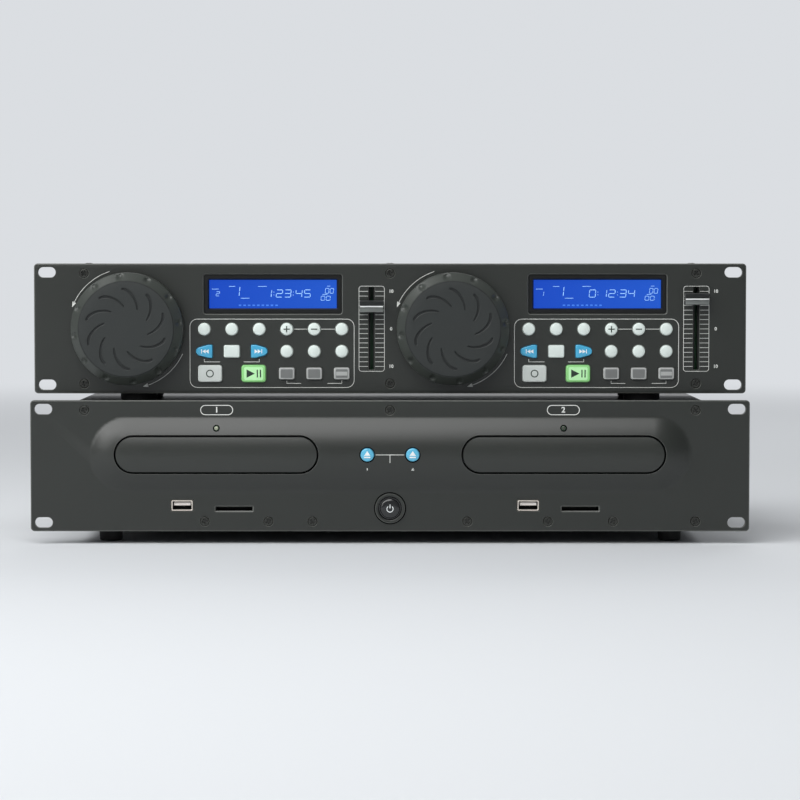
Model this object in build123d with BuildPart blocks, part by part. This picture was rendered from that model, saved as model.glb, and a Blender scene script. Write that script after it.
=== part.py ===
from build123d import *
from math import sqrt
import os

os.makedirs("parts", exist_ok=True)

# A two-deck disc player for a rack: a control unit that stands on a drive unit.
# Millimetres. +Z is up, and both fronts face -Y. The origin is on the floor, in the
# middle of the outer box. "Face" is a panel's front and "back" its rear side.

# ---------------------------------------------------------------- driving sizes
# Rack panels, alike on both units
panel_width = 482.6
panel_height = 88.1
panel_thickness = 3.0
panel_corner = 2.5
panel_overhang = 1.5            # of the panel past its case, above and below
rack_pitch_x = 465.1
rack_pitch_z = 76.2
rack_slot_length = 12.0
rack_slot_height = 7.0

# Sheet-metal cases, and how the two units stand
sheet = 1.2
lip_width = 3.5                 # folded front lips behind the panels' edges
tab_width = 14.0                # of the lips' tabs, which take the panel screws
tab_height = 9.0
player_case_width = 424.0
player_case_depth = 250.0
controller_case_width = 434.0
controller_case_depth = 82.0
controller_setback = 24.0       # of the control unit's face behind the drive unit's

# Rubber feet
player_foot_height = 10.0
player_foot_top = 16.0
player_foot_bottom = 14.0
player_foot_edge = 1.0
player_foot_spread = 380.0
player_foot_inset = 24.0        # from the case's front and back to a foot's middle
controller_foot_height = 6.5
controller_foot_diameter = 25.0
controller_foot_spread = 344.0
controller_foot_inset = 16.0

# Screws
screw_diameter = 3.0
screw_length = 6.0
small_sides = 16                # of small round pieces and the holes they lie in
tiny_sides = 8                  # of screw shanks and their holes, dimples and jack bores
screw_head_diameter = 6.0
sunk_head_depth = 1.5           # of the flush heads in the panels
pan_head_height = 2.0
screw_clearance = 0.15
screw_row = 37.4                # of the panel screws above and below the panel's middle
controller_screw_spread = 414.8
case_screw_spread = 410.0
case_screw_inset = 8.0          # of the case screws behind the panel
player_screw_spread = 410.0
cover_screw_spread = 180.0

# Circuit boards behind the panels
board_gap = 10.0                # from a panel's back to its board
board_thickness = 1.6
board_margin = 2.5              # from a board's edge to the case wall, above and below
boss_width = 6.0
wheel_boss_spread_x = 56.0      # of the four bosses behind a jog wheel
wheel_boss_spread_z = 48.0

# Keys and their switches
key_proud = 2.0
key_travel = 1.2
key_clearance = 0.35
key_flange = 1.2                # thickness of the flange behind the panel
key_flange_margin = 0.9         # of the flange past the cap, all round
stem_width = 3.0
switch_width = 6.2
switch_height = 4.0
stem_clearance = 0.3
stem_entry = 0.3                # of the stem inside its switch at rest
stem_margin = 0.5               # left behind a stem that is pressed home
round_key_diameter = 8.35
square_key_width = 10.6
square_key_height = 8.3
skip_key_width = 11.0
skip_key_height = 8.7
skip_nose_radius = 2.8
skip_base = 3.0                 # of the straight part of a skip key
wide_key_width = 16.1
wide_key_height = 11.3
loop_key_width = 10.6
loop_key_height = 8.0

# Control unit: one deck, measured from the middle of its jog wheel
deck_pitch = 220.0
first_wheel_x = -177.5
key_first_x = 51.5
key_pitch_x = 18.64
key_first_z = -0.4
key_pitch_z = 15.05
display_x = 98.0
display_z = 23.3
display_width = 93.6
display_height = 26.6
display_corner = 1.5
display_bevel = 0.7
display_recess = 1.0            # of the black frame behind the face
frame_clearance = 0.15
frame_flange = 1.2
frame_flange_margin = 2.0
lcd_width = 86.4
lcd_height = 19.3
lcd_border = 3.0                # of the display module past the visible area
fader_x = 165.0
fader_slot_width = 4.0
fader_travel = 51.0
fader_rest = (15.0, 20.0)       # heights of the two knobs above the middle
knob_width = 15.8
knob_height = 8.0
knob_depth = 8.0
knob_gap = 1.0
knob_draft = 0.5
knob_groove = 1.8
blade_width = 1.6
blade_height = 4.0
blade_reach = 7.0               # of the knob's blade behind the panel
fader_body_width = 9.0
fader_end = 4.5                 # of the fader's body past its slot
fader_body_depth = 8.0
fader_wall = 1.0
fader_clearance = 0.5

# Jog wheels
wheel_diameter = 76.0
wheel_height = 17.0             # from the panel to the rim's front
wheel_gap = 1.0
wheel_wall = 5.0
wheel_roof = 6.0
wheel_straight = 11.0           # height at which the shoulder starts
shoulder_land = 0.8             # of the rim's flat front round the pad
pad_diameter = 63.5
pad_thickness = 1.0
dimple_count = 12
dimple_circle = 70.6
dimple_diameter = 4.4
dimple_depth = 4.0              # below the rim's front
dimple_turn = 7.0               # degrees
hub_diameter = 14.0
hub_gap = 3.2
shaft_diameter = 6.0
shaft_fit = 0.05                # radial running clearance
bush_diameter = 9.0
bush_proud = 2.4
encoder_width = 14.0
encoder_depth = 7.0
shaft_end_gap = 1.0

# Drive unit's front: the rounded cushion and the two tray doors
bulge_length = 402.0
bulge_height = 48.5
bulge_rise = 8.0
bulge_z = 7.9
bulge_rim = 9.0                 # from the cushion's outline to the relief behind it
bulge_pocket_depth = 6.0        # of that relief, from the panel's back
tray_spread = 232.4             # between the middles of the trays
door_opening_width = 136.3
door_opening_height = 25.2
door_gap = 0.5
door_rim = 3.0                  # round the pocket in the door's rear
door_pocket_depth = 4.5
led_z = 25.5
led_diameter = 3.0
led_clearance = 0.1
eject_spread = 30.4
eject_diameter = 8.8
eject_proud = 1.5
eject_travel = 1.5
power_z = -28.5
power_collar_diameter = 20.0
power_hole_diameter = 15.8
power_cap_diameter = 13.0
power_cap_proud = 2.6
power_ring_proud = 0.6
power_travel = 2.5
power_flange = 1.5
collar_proud = 1.6
usb_x = -23.4                   # from the middle of the tray above
usb_z = -26.7
usb_width = 14.3
usb_height = 7.1
usb_wall = 0.8
usb_proud = 0.3
usb_clearance = 0.4
usb_back = 1.0
tongue_width = 11.0
tongue_height = 1.8
tongue_setback = 2.0
tongue_lift = 0.9
card_x = 11.5
card_z = -28.9
card_slot_width = 24.8
card_slot_height = 2.7
card_bevel = 0.5
card_wall = 1.2
card_back = 1.5
bottom_screw_x = (-124.4, -81.7, -52.0, 52.0, 106.0, 149.8, 205.0)
player_boss_x = 194.0
player_boss_top = 30.0
player_boss_low = -22.0
player_boss_inner_x = 45.0
board_cutout_margin = 3.0       # round the trays' fronts

# Disc trays and the drives that carry them
tray_side_margin = 2.65         # of the tray's sides inside the door's ends
tray_engagement = 45.0          # left in its guides when the tray is out
tray_top = 3.0                  # above the tray's middle height
tray_plate = 5.0
tray_rail_depth = 3.0
tray_rail_width = 5.0
tray_front_wall = 3.0
tray_front_margin = 2.0         # of the tray's front inside the door's outline
tray_travel = 130.0
disc_recess_diameter = 121.5
disc_recess_depth = 1.8
small_recess_diameter = 82.0
small_recess_depth = 1.7
disc_front_margin = 4.5         # from the tray's front to the recess
spindle_slot_width = 40.0
drive_gap = 1.0                 # from a drive to the boards before and behind it
drive_wall = 4.0
drive_floor = 3.0
drive_depth = 19.0              # from the tray's middle down to the drive's floor
drive_side_height = 8.0
guide_clearance = 0.3
guide_width = 4.5
guide_thickness = 2.5
bridge_width = 26.0
bridge_thickness = 3.0
clamp_diameter = 34.0
clamp_gap = 1.5
motor_diameter = 30.0
hub_cone_diameter = 14.0
hub_cone_top = 1.0
leg_width = 12.0

# Inside and rear of the drive unit
main_board_width = 300.0
main_board_depth = 44.2
main_board_rear_gap = 6.0
main_board_height = 6.0
transformer_width = 52.0
transformer_x = 110.0
transformer_margin = 5.0        # from its sides to the main board's edges
transformer_height = 40.0
jack_x = (-150.0, -132.0, -104.0, -86.0, -58.0, -40.0)
jack_z = 12.0
jack_diameter = 8.3
jack_length = 9.0
jack_bore = 3.2
jack_bore_depth = 7.0
jack_clearance = 0.4
jack_block_height = 14.0
jack_block_depth = 12.0
jack_block_margin = 7.0
multi_x = 20.0                  # many-pin socket for the control unit
multi_z = 12.0
multi_flange_width = 39.0
multi_flange_height = 12.5
multi_flange = 1.0
multi_shell_width = 25.0
multi_shell_height = 8.4
multi_shell_proud = 6.0
multi_shell_wall = 0.6
multi_shell_corner = 2.0
multi_core_drop = 0.8
multi_body_depth = 10.0
multi_clearance = 0.4
controller_multi_x = -150.0
inlet_x = 165.0
inlet_z = 6.0
inlet_flange_width = 32.0
inlet_flange_height = 25.0
inlet_flange = 2.0
inlet_body_width = 28.0
inlet_body_height = 20.4
inlet_body_depth = 20.0
inlet_clearance = 0.3
inlet_mouth_width = 24.4
inlet_mouth_height = 16.8
inlet_mouth_depth = 17.0
inlet_corner = 2.0
inlet_pin_width = 2.0
inlet_pin_height = 4.0
inlet_pin_length = 15.0
inlet_pin_spread = 14.0
vent_count = 8
vent_pitch = 8.0
vent_length = 36.0
vent_width = 3.0
vent_x = 120.0
vent_inset = 50.0

# ---------------------------------------------------------------- worked-out places
case_height = panel_height - 2 * panel_overhang
bulge_radius = (bulge_height**2 / 4 + bulge_rise**2) / (2 * bulge_rise)

front_reach = bulge_rise + eject_proud
rear_reach = panel_thickness + player_case_depth + jack_length
player_face_y = (front_reach - rear_reach) / 2
player_back_y = player_face_y + panel_thickness
player_rear_y = player_back_y + player_case_depth
player_board_y = player_back_y + board_gap
player_z = player_foot_height - panel_overhang + panel_height / 2
player_floor_z = player_foot_height + sheet
player_top_z = player_foot_height + case_height
bulge_axis_y = player_face_y - bulge_rise + bulge_radius
player_front_y = player_face_y - front_reach

controller_face_y = player_face_y + controller_setback
controller_back_y = controller_face_y + panel_thickness
controller_rear_y = controller_back_y + controller_case_depth
controller_board_y = controller_back_y + board_gap
controller_base_z = player_top_z + controller_foot_height
controller_z = controller_base_z - panel_overhang + panel_height / 2

wheel_centres = [first_wheel_x, first_wheel_x + deck_pitch]
tray_centres = [-tray_spread / 2, tray_spread / 2]
tray_z = player_z + bulge_z

switch_front = board_gap - switch_height   # from a panel's back to its switches
stem_length = switch_front - key_flange + stem_entry
stem_hole = stem_width + 2 * stem_clearance
board_height = case_height - 2 * sheet - 2 * board_margin
door_width = door_opening_width - 2 * door_gap
door_height = door_opening_height - 2 * door_gap
tray_front_width = door_width - 2 * tray_front_margin
tray_front_height = door_height - 2 * tray_front_margin
tray_width = door_width - 2 * tray_side_margin
tray_length = tray_travel + tray_engagement
fader_slot_length = fader_travel + blade_height + 2 * fader_clearance
disc_y = player_back_y + tray_front_wall + disc_front_margin + disc_recess_diameter / 2
drive_y = player_board_y + board_thickness + drive_gap
main_board_y = player_rear_y - sheet - main_board_rear_gap - main_board_depth / 2
drive_length = main_board_y - main_board_depth / 2 - drive_gap - drive_y


def facing(y):
    """The upright plane at y, seen from the front: a negative extrusion runs back."""
    return Plane.XZ.offset(-y)


# ---------------------------------------------------------------- keys
column_x = [key_first_x + column * key_pitch_x for column in range(6)]
row_z = [key_first_z - row * key_pitch_z for row in range(3)]
wide_key_inset = (wide_key_width - round_key_diameter) / 2
key_sizes = {
    "round": (round_key_diameter, round_key_diameter),
    "square": (square_key_width, square_key_height),
    "skip_back": (skip_key_width, skip_key_height),
    "skip_forward": (skip_key_width, skip_key_height),
    "wide": (wide_key_width, wide_key_height),
    "loop": (loop_key_width, loop_key_height),
}
keys = {
    "mode_key": ("round", column_x[0], row_z[0]),
    "time_key": ("round", column_x[1], row_z[0]),
    "program_key": ("round", column_x[2], row_z[0]),
    "plus_key": ("round", column_x[3], row_z[0]),
    "minus_key": ("round", column_x[4], row_z[0]),
    "pitch_key": ("round", column_x[5], row_z[0]),
    "skip_back_key": ("skip_back", column_x[0], row_z[1]),
    "stop_key": ("square", column_x[1], row_z[1]),
    "skip_forward_key": ("skip_forward", column_x[2], row_z[1]),
    "bend_down_key": ("round", column_x[3], row_z[1]),
    "bend_up_key": ("round", column_x[4], row_z[1]),
    "search_key": ("round", column_x[5], row_z[1]),
    "cue_key": ("wide", column_x[0] + wide_key_inset, row_z[2]),
    "play_key": ("wide", column_x[2] - wide_key_inset, row_z[2]),
    "loop_in_key": ("loop", column_x[3], row_z[2]),
    "loop_out_key": ("loop", column_x[4], row_z[2]),
    "reloop_key": ("loop", column_x[5], row_z[2]),
}


def key_outline(shape, grow=0.0):
    """The front of a key, or its hole in the panel when it grows by the clearance."""
    width, height = key_sizes[shape]
    with BuildSketch() as outline:
        if shape == "round":
            RegularPolygon(width / 2, small_sides)
        elif shape in ("skip_back", "skip_forward"):
            nose = -1 if shape == "skip_back" else 1
            with BuildSketch(mode=Mode.PRIVATE) as ends:
                with Locations((nose * (width / 2 - skip_nose_radius), 0)):
                    Circle(skip_nose_radius)
                with Locations((nose * (skip_base / 2 - width / 2), 0)):
                    Rectangle(skip_base, height)
            make_hull(ends.edges())
        else:
            Rectangle(width, height)
        if grow:
            offset(amount=grow, kind=Kind.INTERSECTION)
    return outline.sketch


key_fronts = {shape: key_outline(shape) for shape in key_sizes}
key_holes = {shape: key_outline(shape, key_clearance) for shape in key_sizes}

for deck, wheel_x in enumerate(wheel_centres, start=1):
    for name, (shape, key_x, key_z) in keys.items():
        place = (wheel_x + key_x, controller_z + key_z)
        width, height = key_sizes[shape]
        with BuildPart() as key:
            with BuildSketch(facing(controller_face_y - key_proud)):
                with Locations(place):
                    add(key_fronts[shape])
            extrude(amount=-(key_proud + panel_thickness))
            with BuildSketch(facing(controller_back_y)):
                with Locations(place):
                    Rectangle(width + 2 * key_flange_margin, height + 2 * key_flange_margin)
            extrude(amount=-key_flange)
            with BuildSketch(facing(controller_back_y + key_flange)):
                with Locations(place):
                    Rectangle(stem_width, stem_width)
            extrude(amount=-stem_length)
        key.part.label = f"{name}_{deck}"
        export_step(key.part, f"parts/{name}_{deck}.step")


# ---------------------------------------------------------------- rack panels
def rack_panel(face_y, middle_z):
    """A bare rack panel with its four mounting slots."""
    with BuildPart() as blank:
        with BuildSketch(facing(face_y)):
            with Locations((0, middle_z)):
                RectangleRounded(panel_width, panel_height, panel_corner)
                with GridLocations(rack_pitch_x, rack_pitch_z, 2, 2):
                    SlotOverall(rack_slot_length, rack_slot_height, mode=Mode.SUBTRACT)
        extrude(amount=-panel_thickness)
    return blank.part


with BuildSketch() as screw_hole:
    RegularPolygon(screw_diameter / 2 + screw_clearance, tiny_sides)
with BuildSketch() as head_recess:
    RegularPolygon(screw_head_diameter / 2 + screw_clearance, small_sides)
controller_screws_at = [
    (x, controller_z + z)
    for x in (-controller_screw_spread / 2, 0, controller_screw_spread / 2)
    for z in (-screw_row, screw_row)
]
player_screws_at = [
    (x, player_z + screw_row) for x in (-player_screw_spread / 2, 0, player_screw_spread / 2)
] + [(x, player_z - screw_row) for x in bottom_screw_x]
controller_bosses_at = [
    (wheel_x + side * wheel_boss_spread_x / 2, controller_z + level * wheel_boss_spread_z / 2)
    for wheel_x in wheel_centres
    for side in (-1, 1)
    for level in (-1, 1)
]

controller_blank = rack_panel(controller_face_y, controller_z)
with BuildPart() as controller_front_panel:
    add(controller_blank)
    with BuildSketch(facing(controller_face_y)):
        for wheel_x in wheel_centres:
            for shape, key_x, key_z in keys.values():
                with Locations((wheel_x + key_x, controller_z + key_z)):
                    add(key_holes[shape])
            with Locations((wheel_x + display_x, controller_z + display_z)):
                RectangleRounded(display_width, display_height, display_corner)
            with Locations((wheel_x + fader_x, controller_z)):
                Rectangle(fader_slot_width, fader_slot_length)
            with Locations((wheel_x, controller_z)):
                Circle(bush_diameter / 2 + screw_clearance)
    extrude(amount=-panel_thickness, mode=Mode.SUBTRACT)
    with BuildSketch(facing(controller_face_y)):
        for wheel_x in wheel_centres:
            with Locations((wheel_x + display_x, controller_z + display_z)):
                RectangleRounded(
                    display_width + 2 * display_bevel,
                    display_height + 2 * display_bevel,
                    display_corner + display_bevel,
                )
    extrude(amount=-display_bevel, taper=45, mode=Mode.SUBTRACT)
    with BuildSketch(facing(controller_back_y)):
        with Locations(*controller_bosses_at):
            Rectangle(boss_width, boss_width)
    extrude(amount=-board_gap)
    with BuildSketch(facing(controller_face_y)):
        with Locations(*controller_screws_at):
            add(head_recess.sketch)
    extrude(amount=-sunk_head_depth, mode=Mode.SUBTRACT)
    with BuildSketch(facing(controller_face_y)):
        with Locations(*controller_screws_at):
            add(screw_hole.sketch)
    extrude(amount=-panel_thickness, mode=Mode.SUBTRACT)
controller_front_panel.part.label = "controller_front_panel"
export_step(controller_front_panel.part, "parts/controller_front_panel.step")


def cushion(radius, base_y):
    """A long rounded cushion about the bulge's axis, cut flat at base_y."""
    half = sqrt(radius**2 - (bulge_axis_y - base_y) ** 2)
    straight = bulge_length - bulge_height
    middle = player_z + bulge_z
    crown = (bulge_axis_y - radius, middle)
    with BuildPart() as body:
        with BuildSketch(Plane.YZ):
            with BuildLine():
                ThreePointArc((base_y, middle - half), crown, (base_y, middle + half))
                Line((base_y, middle + half), (base_y, middle - half))
            make_face()
        extrude(amount=straight / 2, both=True)
        with BuildSketch(Plane.YZ.offset(straight / 2)):
            with BuildLine():
                RadiusArc((base_y, middle + half), crown, -radius)
                Polyline(crown, (base_y, middle), (base_y, middle + half))
            make_face()
        revolve(axis=Axis((straight / 2, base_y, middle), (0, 1, 0)), revolution_arc=180)
        mirror(about=Plane.YZ)
    return body.part


# The drive unit's panel: a plate with a cushion, relieved behind, that the doors lie in
player_blank = rack_panel(player_face_y, player_z)
cushion_outside = cushion(bulge_radius, player_face_y)
with BuildPart() as player_front_panel:
    add(player_blank)
    add(cushion_outside)
    with BuildSketch(facing(player_face_y)):
        with Locations((0, player_z + power_z)):
            Circle(power_collar_diameter / 2)
    extrude(amount=collar_proud)
    with BuildSketch(facing(player_back_y)):
        with Locations((0, tray_z)):
            SlotOverall(bulge_length - 2 * bulge_rim, bulge_height - 2 * bulge_rim)
    extrude(amount=bulge_pocket_depth, mode=Mode.SUBTRACT)
    with BuildSketch(facing(player_front_y)):
        for tray_x in tray_centres:
            with Locations((tray_x, tray_z)):
                SlotOverall(door_opening_width, door_opening_height)
            with Locations((tray_x, player_z + led_z)):
                RegularPolygon(led_diameter / 2 + led_clearance, small_sides)
            with Locations((tray_x + usb_x, player_z + usb_z)):
                Rectangle(usb_width + 2 * usb_clearance, usb_height + 2 * usb_clearance)
            with Locations((tray_x + card_x, player_z + card_z)):
                Rectangle(card_slot_width, card_slot_height)
        with Locations((0, tray_z)):
            with GridLocations(eject_spread, 0, 2, 1):
                RegularPolygon(eject_diameter / 2 + key_clearance, small_sides)
        with Locations((0, player_z + power_z)):
            Circle(power_hole_diameter / 2)
    extrude(amount=-(front_reach + panel_thickness), mode=Mode.SUBTRACT)
    with BuildSketch(facing(player_face_y)):
        for tray_x in tray_centres:
            with Locations((tray_x + card_x, player_z + card_z)):
                Rectangle(card_slot_width + 2 * card_bevel, card_slot_height + 2 * card_bevel)
    extrude(amount=-card_bevel, taper=45, mode=Mode.SUBTRACT)
    with BuildSketch(facing(player_back_y)):
        for side in (-1, 1):
            with Locations(
                (side * player_boss_x, player_z + player_boss_top),
                (side * player_boss_x, player_z + player_boss_low),
                (side * player_boss_inner_x, player_z + player_boss_low),
            ):
                Rectangle(boss_width, boss_width)
    extrude(amount=-board_gap)
    with BuildSketch(facing(player_face_y)):
        with Locations(*player_screws_at):
            add(head_recess.sketch)
    extrude(amount=-sunk_head_depth, mode=Mode.SUBTRACT)
    with BuildSketch(facing(player_face_y)):
        with Locations(*player_screws_at):
            add(screw_hole.sketch)
    extrude(amount=-panel_thickness, mode=Mode.SUBTRACT)
player_front_panel.part.label = "player_front_panel"
export_step(player_front_panel.part, "parts/player_front_panel.step")


# ---------------------------------------------------------------- jog wheels
def wheel_plane(wheel_x):
    """Radius to the right and depth upwards, from the wheel's middle on the face."""
    return Plane(origin=(wheel_x, controller_face_y, controller_z), x_dir=(1, 0, 0), z_dir=(0, 0, 1))


wheel_radius = wheel_diameter / 2
shaft_back = panel_thickness + board_gap - shaft_end_gap
for deck, wheel_x in enumerate(wheel_centres, start=1):
    spin_axis = Axis((wheel_x, controller_face_y, controller_z), (0, 1, 0))
    with BuildPart() as jog_wheel:
        with BuildSketch(wheel_plane(wheel_x)):
            with BuildLine():
                Polyline(
                    (0, shaft_back),
                    (shaft_diameter / 2, shaft_back),
                    (shaft_diameter / 2, -hub_gap),
                    (hub_diameter / 2, -hub_gap),
                    (hub_diameter / 2, wheel_roof - wheel_height),
                    (wheel_radius - wheel_wall, wheel_roof - wheel_height),
                    (wheel_radius - wheel_wall, -wheel_gap),
                    (wheel_radius, -wheel_gap),
                    (wheel_radius, -wheel_straight),
                    (pad_diameter / 2 + shoulder_land, -wheel_height),
                    (0, -wheel_height),
                    close=True,
                )
            make_face()
        revolve(axis=spin_axis)
        with BuildSketch(facing(controller_face_y - wheel_height)):
            with Locations((wheel_x, controller_z)):
                with PolarLocations(dimple_circle / 2, dimple_count, start_angle=dimple_turn):
                    RegularPolygon(dimple_diameter / 2, tiny_sides)
        extrude(amount=-dimple_depth, mode=Mode.SUBTRACT)
        rim = jog_wheel.part
    with BuildPart() as pad:
        with BuildSketch(facing(controller_face_y - wheel_height)):
            with Locations((wheel_x, controller_z)):
                Circle(pad_diameter / 2)
        extrude(amount=pad_thickness)
    wheel_set = Compound(label=f"jog_wheel_{deck}", children=[rim, pad.part])
    export_step(wheel_set, f"parts/jog_wheel_{deck}.step")


# ---------------------------------------------------------------- faders
for deck, wheel_x in enumerate(wheel_centres, start=1):
    knob_x = wheel_x + fader_x
    knob_z = controller_z + fader_rest[deck - 1]
    knob_back_y = controller_face_y - knob_gap
    knob_front_y = knob_back_y - knob_depth
    front_half = knob_height / 2 - knob_draft
    with BuildPart() as fader_knob:
        with BuildSketch(Plane.YZ.offset(knob_x)):
            with BuildLine():
                ThreePointArc(
                    (knob_front_y, knob_z - front_half),
                    (knob_front_y + knob_groove, knob_z),
                    (knob_front_y, knob_z + front_half),
                )
                Polyline(
                    (knob_front_y, knob_z + front_half),
                    (knob_back_y, knob_z + knob_height / 2),
                    (knob_back_y, knob_z - knob_height / 2),
                    (knob_front_y, knob_z - front_half),
                )
            make_face()
        extrude(amount=knob_width / 2, both=True)
        with BuildSketch(facing(knob_back_y)):
            with Locations((knob_x, knob_z)):
                Rectangle(blade_width, blade_height)
        extrude(amount=-(knob_gap + panel_thickness + blade_reach))
    fader_knob.part.label = f"fader_knob_{deck}"
    export_step(fader_knob.part, f"parts/fader_knob_{deck}.step")


# ---------------------------------------------------------------- displays
with BuildPart() as display_frames:
    for wheel_x in wheel_centres:
        with BuildSketch(facing(controller_face_y + display_recess)):
            with Locations((wheel_x + display_x, controller_z + display_z)):
                RectangleRounded(
                    display_width - 2 * frame_clearance,
                    display_height - 2 * frame_clearance,
                    display_corner - frame_clearance,
                )
        extrude(amount=-(panel_thickness - display_recess))
        with BuildSketch(facing(controller_back_y)):
            with Locations((wheel_x + display_x, controller_z + display_z)):
                Rectangle(
                    display_width + 2 * frame_flange_margin,
                    display_height + 2 * frame_flange_margin,
                )
        extrude(amount=-frame_flange)
        with BuildSketch(facing(controller_face_y)):
            with Locations((wheel_x + display_x, controller_z + display_z)):
                Rectangle(lcd_width, lcd_height)
        extrude(amount=-(panel_thickness + frame_flange), mode=Mode.SUBTRACT)
display_frames.part.label = "display_frames"
export_step(display_frames.part, "parts/display_frames.step")


# ---------------------------------------------------------------- control unit's board
# One board with a switch behind each key, the jog wheels' encoders, the fader bodies
# and the two display modules
encoder_front_y = controller_board_y - encoder_depth
with BuildPart() as control_board:
    with BuildSketch(facing(controller_board_y)):
        with Locations((0, controller_z)):
            Rectangle(controller_case_width - 2 * sheet - 2 * board_margin, board_height)
    extrude(amount=-board_thickness)
    with BuildSketch(facing(controller_board_y)):
        for wheel_x in wheel_centres:
            for shape, key_x, key_z in keys.values():
                with Locations((wheel_x + key_x, controller_z + key_z)):
                    Rectangle(switch_width, switch_width)
    extrude(amount=switch_height)
    with BuildSketch(facing(controller_board_y - switch_height)):
        for wheel_x in wheel_centres:
            for shape, key_x, key_z in keys.values():
                with Locations((wheel_x + key_x, controller_z + key_z)):
                    Rectangle(stem_hole, stem_hole)
    extrude(amount=-(stem_entry + key_travel + stem_margin), mode=Mode.SUBTRACT)
    for wheel_x in wheel_centres:
        with BuildSketch(facing(controller_board_y)):
            with Locations((wheel_x, controller_z)):
                Rectangle(encoder_width, encoder_width)
        extrude(amount=encoder_depth)
        with BuildSketch(facing(encoder_front_y)):
            with Locations((wheel_x, controller_z)):
                Circle(bush_diameter / 2)
        extrude(amount=encoder_front_y - controller_face_y + bush_proud)
        with BuildSketch(facing(controller_face_y - bush_proud)):
            with Locations((wheel_x, controller_z)):
                Circle(shaft_diameter / 2 + shaft_fit)
        extrude(amount=-(bush_proud + panel_thickness + board_gap), mode=Mode.SUBTRACT)
        with BuildSketch(facing(controller_board_y)):
            with Locations((wheel_x + fader_x, controller_z)):
                Rectangle(fader_body_width, fader_slot_length + 2 * fader_end)
        extrude(amount=fader_body_depth)
        with BuildSketch(facing(controller_board_y - fader_body_depth)):
            with Locations((wheel_x + fader_x, controller_z)):
                Rectangle(blade_width + 2 * fader_clearance, fader_slot_length)
        extrude(amount=-(fader_body_depth - fader_wall), mode=Mode.SUBTRACT)
with BuildPart() as display_modules:
    with BuildSketch(facing(controller_back_y + frame_flange)):
        for wheel_x in wheel_centres:
            with Locations((wheel_x + display_x, controller_z + display_z)):
                Rectangle(lcd_width + 2 * lcd_border, lcd_height + 2 * lcd_border)
    extrude(amount=-(board_gap - frame_flange))


def multi_pin_socket(x, rear_y, middle_z):
    """A many-pin socket in a rear wall: its flange outside, its shell, core and body."""
    half_shell = (multi_shell_width / 2, multi_shell_height / 2)
    with BuildPart() as socket:
        with BuildSketch(facing(rear_y)):
            with Locations((x, middle_z)):
                RectangleRounded(multi_flange_width, multi_flange_height, multi_shell_corner)
        extrude(amount=-multi_flange)
        with BuildSketch(facing(rear_y)):
            with Locations((x, middle_z)):
                RectangleRounded(2 * half_shell[0], 2 * half_shell[1], multi_shell_corner)
        extrude(amount=-(multi_flange + multi_shell_proud))
        with BuildSketch(facing(rear_y + multi_flange + multi_shell_proud)):
            with Locations((x, middle_z)):
                RectangleRounded(
                    2 * (half_shell[0] - multi_shell_wall),
                    2 * (half_shell[1] - multi_shell_wall),
                    multi_shell_corner - multi_shell_wall,
                )
        extrude(amount=multi_core_drop, mode=Mode.SUBTRACT)
        with BuildSketch(facing(rear_y)):
            with Locations((x, middle_z)):
                Rectangle(2 * half_shell[0], 2 * half_shell[1])
        extrude(amount=multi_body_depth)
    return socket.part


controller_socket = multi_pin_socket(controller_multi_x, controller_rear_y, controller_z)
control_boards = Compound(
    label="control_boards",
    children=[
        control_board.part.solid(),
        *display_modules.part.solids(),
        controller_socket.solid(),
    ],
)
export_step(control_boards, "parts/control_boards.step")

# ---------------------------------------------------------------- control unit's case
case_screws_x = (-case_screw_spread / 2, 0, case_screw_spread / 2)
case_screw_y = controller_back_y + case_screw_inset
with BuildPart() as controller_housing:
    with BuildSketch(facing(controller_back_y)):
        with Locations((0, controller_z)):
            Rectangle(controller_case_width, case_height)
    extrude(amount=-controller_case_depth)
    with BuildSketch(facing(controller_back_y + sheet)):
        with Locations((0, controller_z)):
            Rectangle(controller_case_width - 2 * sheet, case_height - 2 * sheet)
    extrude(amount=-(controller_case_depth - 2 * sheet), mode=Mode.SUBTRACT)
    with BuildSketch(facing(controller_back_y)):
        with Locations((0, controller_z)):
            Rectangle(controller_case_width - 2 * sheet, case_height - 2 * lip_width)
        with Locations(*controller_screws_at):
            Rectangle(tab_width, tab_height, mode=Mode.SUBTRACT)
            add(screw_hole.sketch)
    extrude(amount=-sheet, mode=Mode.SUBTRACT)
    with BuildSketch(Plane.XY.offset(controller_base_z)):
        with Locations(*[(x, case_screw_y) for x in case_screws_x]):
            add(screw_hole.sketch)
    extrude(amount=case_height, mode=Mode.SUBTRACT)
    with BuildSketch(facing(controller_rear_y)):
        with Locations((controller_multi_x, controller_z)):
            Rectangle(
                multi_shell_width + 2 * multi_clearance,
                multi_shell_height + 2 * multi_clearance,
            )
    extrude(amount=sheet, mode=Mode.SUBTRACT)
controller_housing.part.label = "controller_housing"
export_step(controller_housing.part, "parts/controller_housing.step")

controller_feet_y = (
    controller_back_y + controller_foot_inset,
    controller_rear_y - controller_foot_inset,
)
with BuildPart() as controller_feet:
    with BuildSketch(Plane.XY.offset(controller_base_z)):
        for y in controller_feet_y:
            with Locations((-controller_foot_spread / 2, y), (controller_foot_spread / 2, y)):
                Circle(controller_foot_diameter / 2)
    extrude(amount=-controller_foot_height)
controller_feet.part.label = "controller_feet"
export_step(controller_feet.part, "parts/controller_feet.step")

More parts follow.
